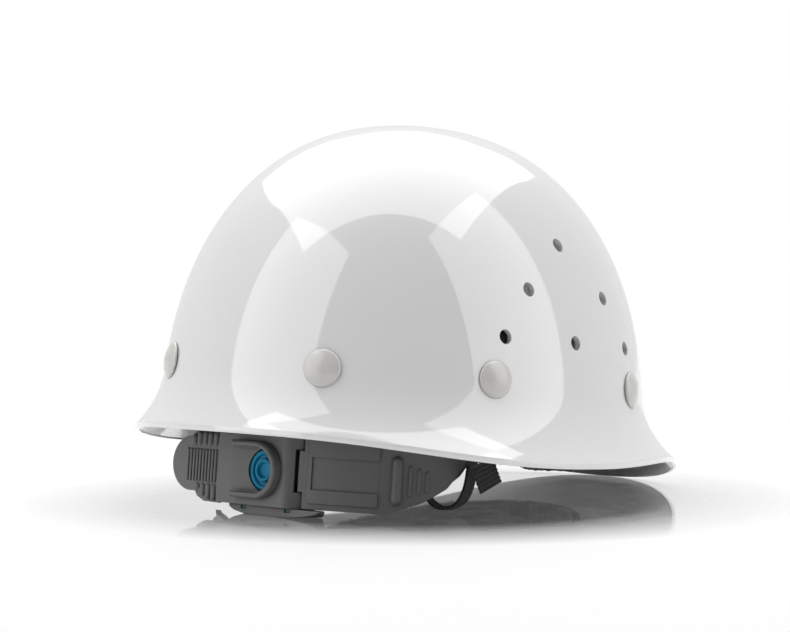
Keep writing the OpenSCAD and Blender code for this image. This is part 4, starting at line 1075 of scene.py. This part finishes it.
def ruffled(made):
    # a wavy lower edge, a seam near the top, and ends that rise and narrow
    mesh = made.data
    upWay = (standTurn @ Vector((0, 0, 1))).normalized()
    backWay = stand.inverted()
    normals = [v.normal.copy() for v in mesh.vertices]
    places = [backWay @ v.co / mm for v in mesh.vertices]
    arcs = [math.atan2(p.x, -p.y - band["frontCentre"]) * band["frontRadius"] for p in places]
    end = max(arcs)
    for v, n, p, arc in zip(mesh.vertices, normals, places, arcs):
        low = limited((pads["ruffleFrom"] - p.z) / pads["ruffleFade"], 0, 1)
        wave = math.sin(arc * 2 * math.pi / pads["rufflePitch"])
        wave += pads["wander"] * noise.noise(Vector((arc * 0.4, p.z * 0.3, 0)))
        seam = math.exp(-((p.z - pads["seamAt"]) / pads["seamWidth"]) ** 2)
        near = limited(1 - (end - abs(arc)) / pads["taper"], 0, 1)
        near *= limited((pads["taperTop"] - p.z) / pads["taperFade"], 0, 1)
        v.co = v.co + n * (low * wave * pads["ruffle"] * 0.5 - seam * pads["seam"] * 0.5) * mm
        v.co = v.co + upWay * near * near * pads["taperRise"] * mm
    mesh.update()


def makePads():
    for kind in ("crown", "nape"):
        pad = swollen(f"{kind}_cushion", f"{kind}_pad", "foam", pads[kind])
        finishPad(pad, f"{kind}_pad")
        print(f"{kind} pad made", len(pad.data.polygons))
    sweat = swollen("sweat_towelling", "sweatband", "towelling", pads["sweat"])
    ruffled(sweat)
    finishPad(sweat, "sweatband")
    print("sweatband made", len(sweat.data.polygons))


makePads()


# Floor, light and camera


def mixShader(tree, share, first, second):
    return wired(tree, "ShaderNodeMixShader", {0: share, 1: first, 2: second})


def makeStage():
    size = {"half": 6.0, "white": 0.9, "gloss": 0.86, "rough": 0.04, "mirrorStart": 0.118,
            "mirrorEnd": 0.195, "fadeStart": 0.24, "fadeEnd": 0.6, "glow": 0.2, "lift": 0.45}
    material, tree, shader = newMaterial("studio floor", (size["white"],) * 3, 0.6, IOR=1.45)
    place = objectPlace(tree)
    reach = vectorMath(tree, "LENGTH", {0: together(tree, *apart(tree, place)[:2])}, "Value")
    near = spread(tree, reach, size["mirrorStart"], size["mirrorEnd"], size["gloss"], 0.0)
    speckle = spread(tree, grain(tree, place, 60.0, 2.0), 0.3, 0.7, 0.96, 1.04)
    path = addNode(tree, "ShaderNodeLightPath").outputs
    seen = Term(tree, path["Is Camera Ray"])
    # the camera sees the shadow on the white floor only in part, as on a lit-through table
    lifted = mixShader(tree, seen * size["lift"], shader.outputs[0], wired(tree, "ShaderNodeEmission"))
    mirror = wired(tree, "ShaderNodeBsdfGlossy", {"Roughness": size["rough"], "Color": (0.95, 0.95, 0.95, 1)})
    both = mixShader(tree, near * speckle, lifted, mirror)
    shown = seen.op("MAXIMUM", path["Is Glossy Ray"])
    glow = wired(tree, "ShaderNodeEmission", {"Strength": spread(tree, shown, 0.0, 1.0, size["glow"], 1.0)})
    whole = mixShader(tree, spread(tree, reach, size["fadeStart"], size["fadeEnd"], 0.0, 1.0), both, glow)
    # seen from below the floor is clear
    below = seen * wired(tree, "ShaderNodeNewGeometry", None, "Backfacing")
    clear = mixShader(tree, below, whole, wired(tree, "ShaderNodeBsdfTransparent"))
    feed(tree.nodes["Material Output"].inputs["Surface"], clear)
    half = size["half"]
    mesh = bpy.data.meshes.new("floor")
    mesh.from_pydata([(-half, -half, 0), (half, -half, 0), (half, half, 0), (-half, half, 0)], [], [(0, 1, 2, 3)])
    mesh.materials.append(material)
    floor = linked("floor", mesh)


view = {"azimuth": 221.9965, "elevation": 1.8981, "distance": 1.3, "target": (0.0, 0.0001872, 0.07),
        "lens": 122.17, "shiftX": -0.0124, "shiftY": -0.01585, "roll": -0.0874}


def wayBack(azimuth, elevation):
    a, e = math.radians(azimuth), math.radians(elevation)
    return Vector((math.sin(a) * math.cos(e), -math.cos(a) * math.cos(e), math.sin(e)))


def makeWorld():
    size = {"dimFrom": -0.1, "dimTo": 0.5, "backdrop": 0.82, "studio": 0.35, "diffuse": 0.3}
    world = bpy.data.worlds.new("studio")
    bpy.context.scene.world = world
    world.use_nodes = True
    tree = world.node_tree
    back = tree.nodes["Background"]
    path = addNode(tree, "ShaderNodeLightPath").outputs
    seen = Term(tree, path["Is Camera Ray"]).op("MAXIMUM", path["Is Transmission Ray"])
    # gloss sees the white backdrop behind the helmet and a dimmer studio in front of it
    way = wired(tree, "ShaderNodeTexCoord", None, "Generated")
    ahead = vectorMath(tree, "DOT_PRODUCT", {0: way, 1: wayBack(view["azimuth"], 0)}, "Value")
    room = spread(tree, ahead, size["dimFrom"], size["dimTo"], size["backdrop"], size["studio"])
    gloss = Term(tree, path["Is Glossy Ray"]) * room
    feed(back.inputs["Strength"], seen.op("MAXIMUM", gloss).op("MAXIMUM", size["diffuse"]))
    feed(back.inputs["Color"], (1, 1, 1, 1))


def makeCamera():
    data = bpy.data.cameras.new("camera")
    camera = linked("camera", data)
    bpy.context.scene.camera = camera
    data.sensor_width = 36.0
    data.lens = view["lens"]
    data.shift_x, data.shift_y = view["shiftX"], view["shiftY"]
    back = wayBack(view["azimuth"], view["elevation"])
    camera.location = stand.translation + Vector(view["target"]) + back * view["distance"]
    camera.rotation_mode = "QUATERNION"
    turn = (-back).to_track_quat("-Z", "Y")
    camera.rotation_quaternion = turn @ Quaternion((0, 0, 1), math.radians(view["roll"]))


def softbox(name, place, turn, size, glow):
    # a panel light of a given brightness, so its power follows from its area
    data = bpy.data.lights.new(name, "AREA")
    data.shape = "RECTANGLE"
    data.size, data.size_y = size
    data.energy = glow * math.pi * size[0] * size[1]
    light = linked(name, data)
    light.location = place
    light.rotation_mode = "QUATERNION"
    light.rotation_quaternion = turn


lights = {"overhead": {"height": 1.0, "front": 0.40, "back": 1.6, "half": 0.9, "glow": 1.5},
          "left": {"azimuth": -60.5, "elevation": 27.0, "distance": 1.5, "size": (1.33, 1.7), "glow": 1.28},
          "right": {"azimuth": 76.0, "elevation": 27.0, "distance": 1.5, "size": (1.15, 1.7), "glow": 1.12}}


def makeLights():
    centre = Vector((0, 0, 0.08))
    over = lights["overhead"]
    middle = wayBack(view["azimuth"], 0) * (over["front"] - over["back"]) / 2
    softbox("overhead", centre + Vector((0, 0, over["height"])) + middle,
            Quaternion((0, 0, 1), math.radians(view["azimuth"])),
            (2 * over["half"], over["front"] + over["back"]), over["glow"])
    for side in ("left", "right"):
        box = lights[side]
        away = wayBack(view["azimuth"] + box["azimuth"], box["elevation"])
        softbox(side + " softbox", centre + away * box["distance"], (-away).to_track_quat("-Z", "Y"),
                box["size"], box["glow"])


makeStage()
makeWorld()
makeLights()
makeCamera()
bpy.context.scene.view_settings.view_transform = "Standard"
print("stage made")
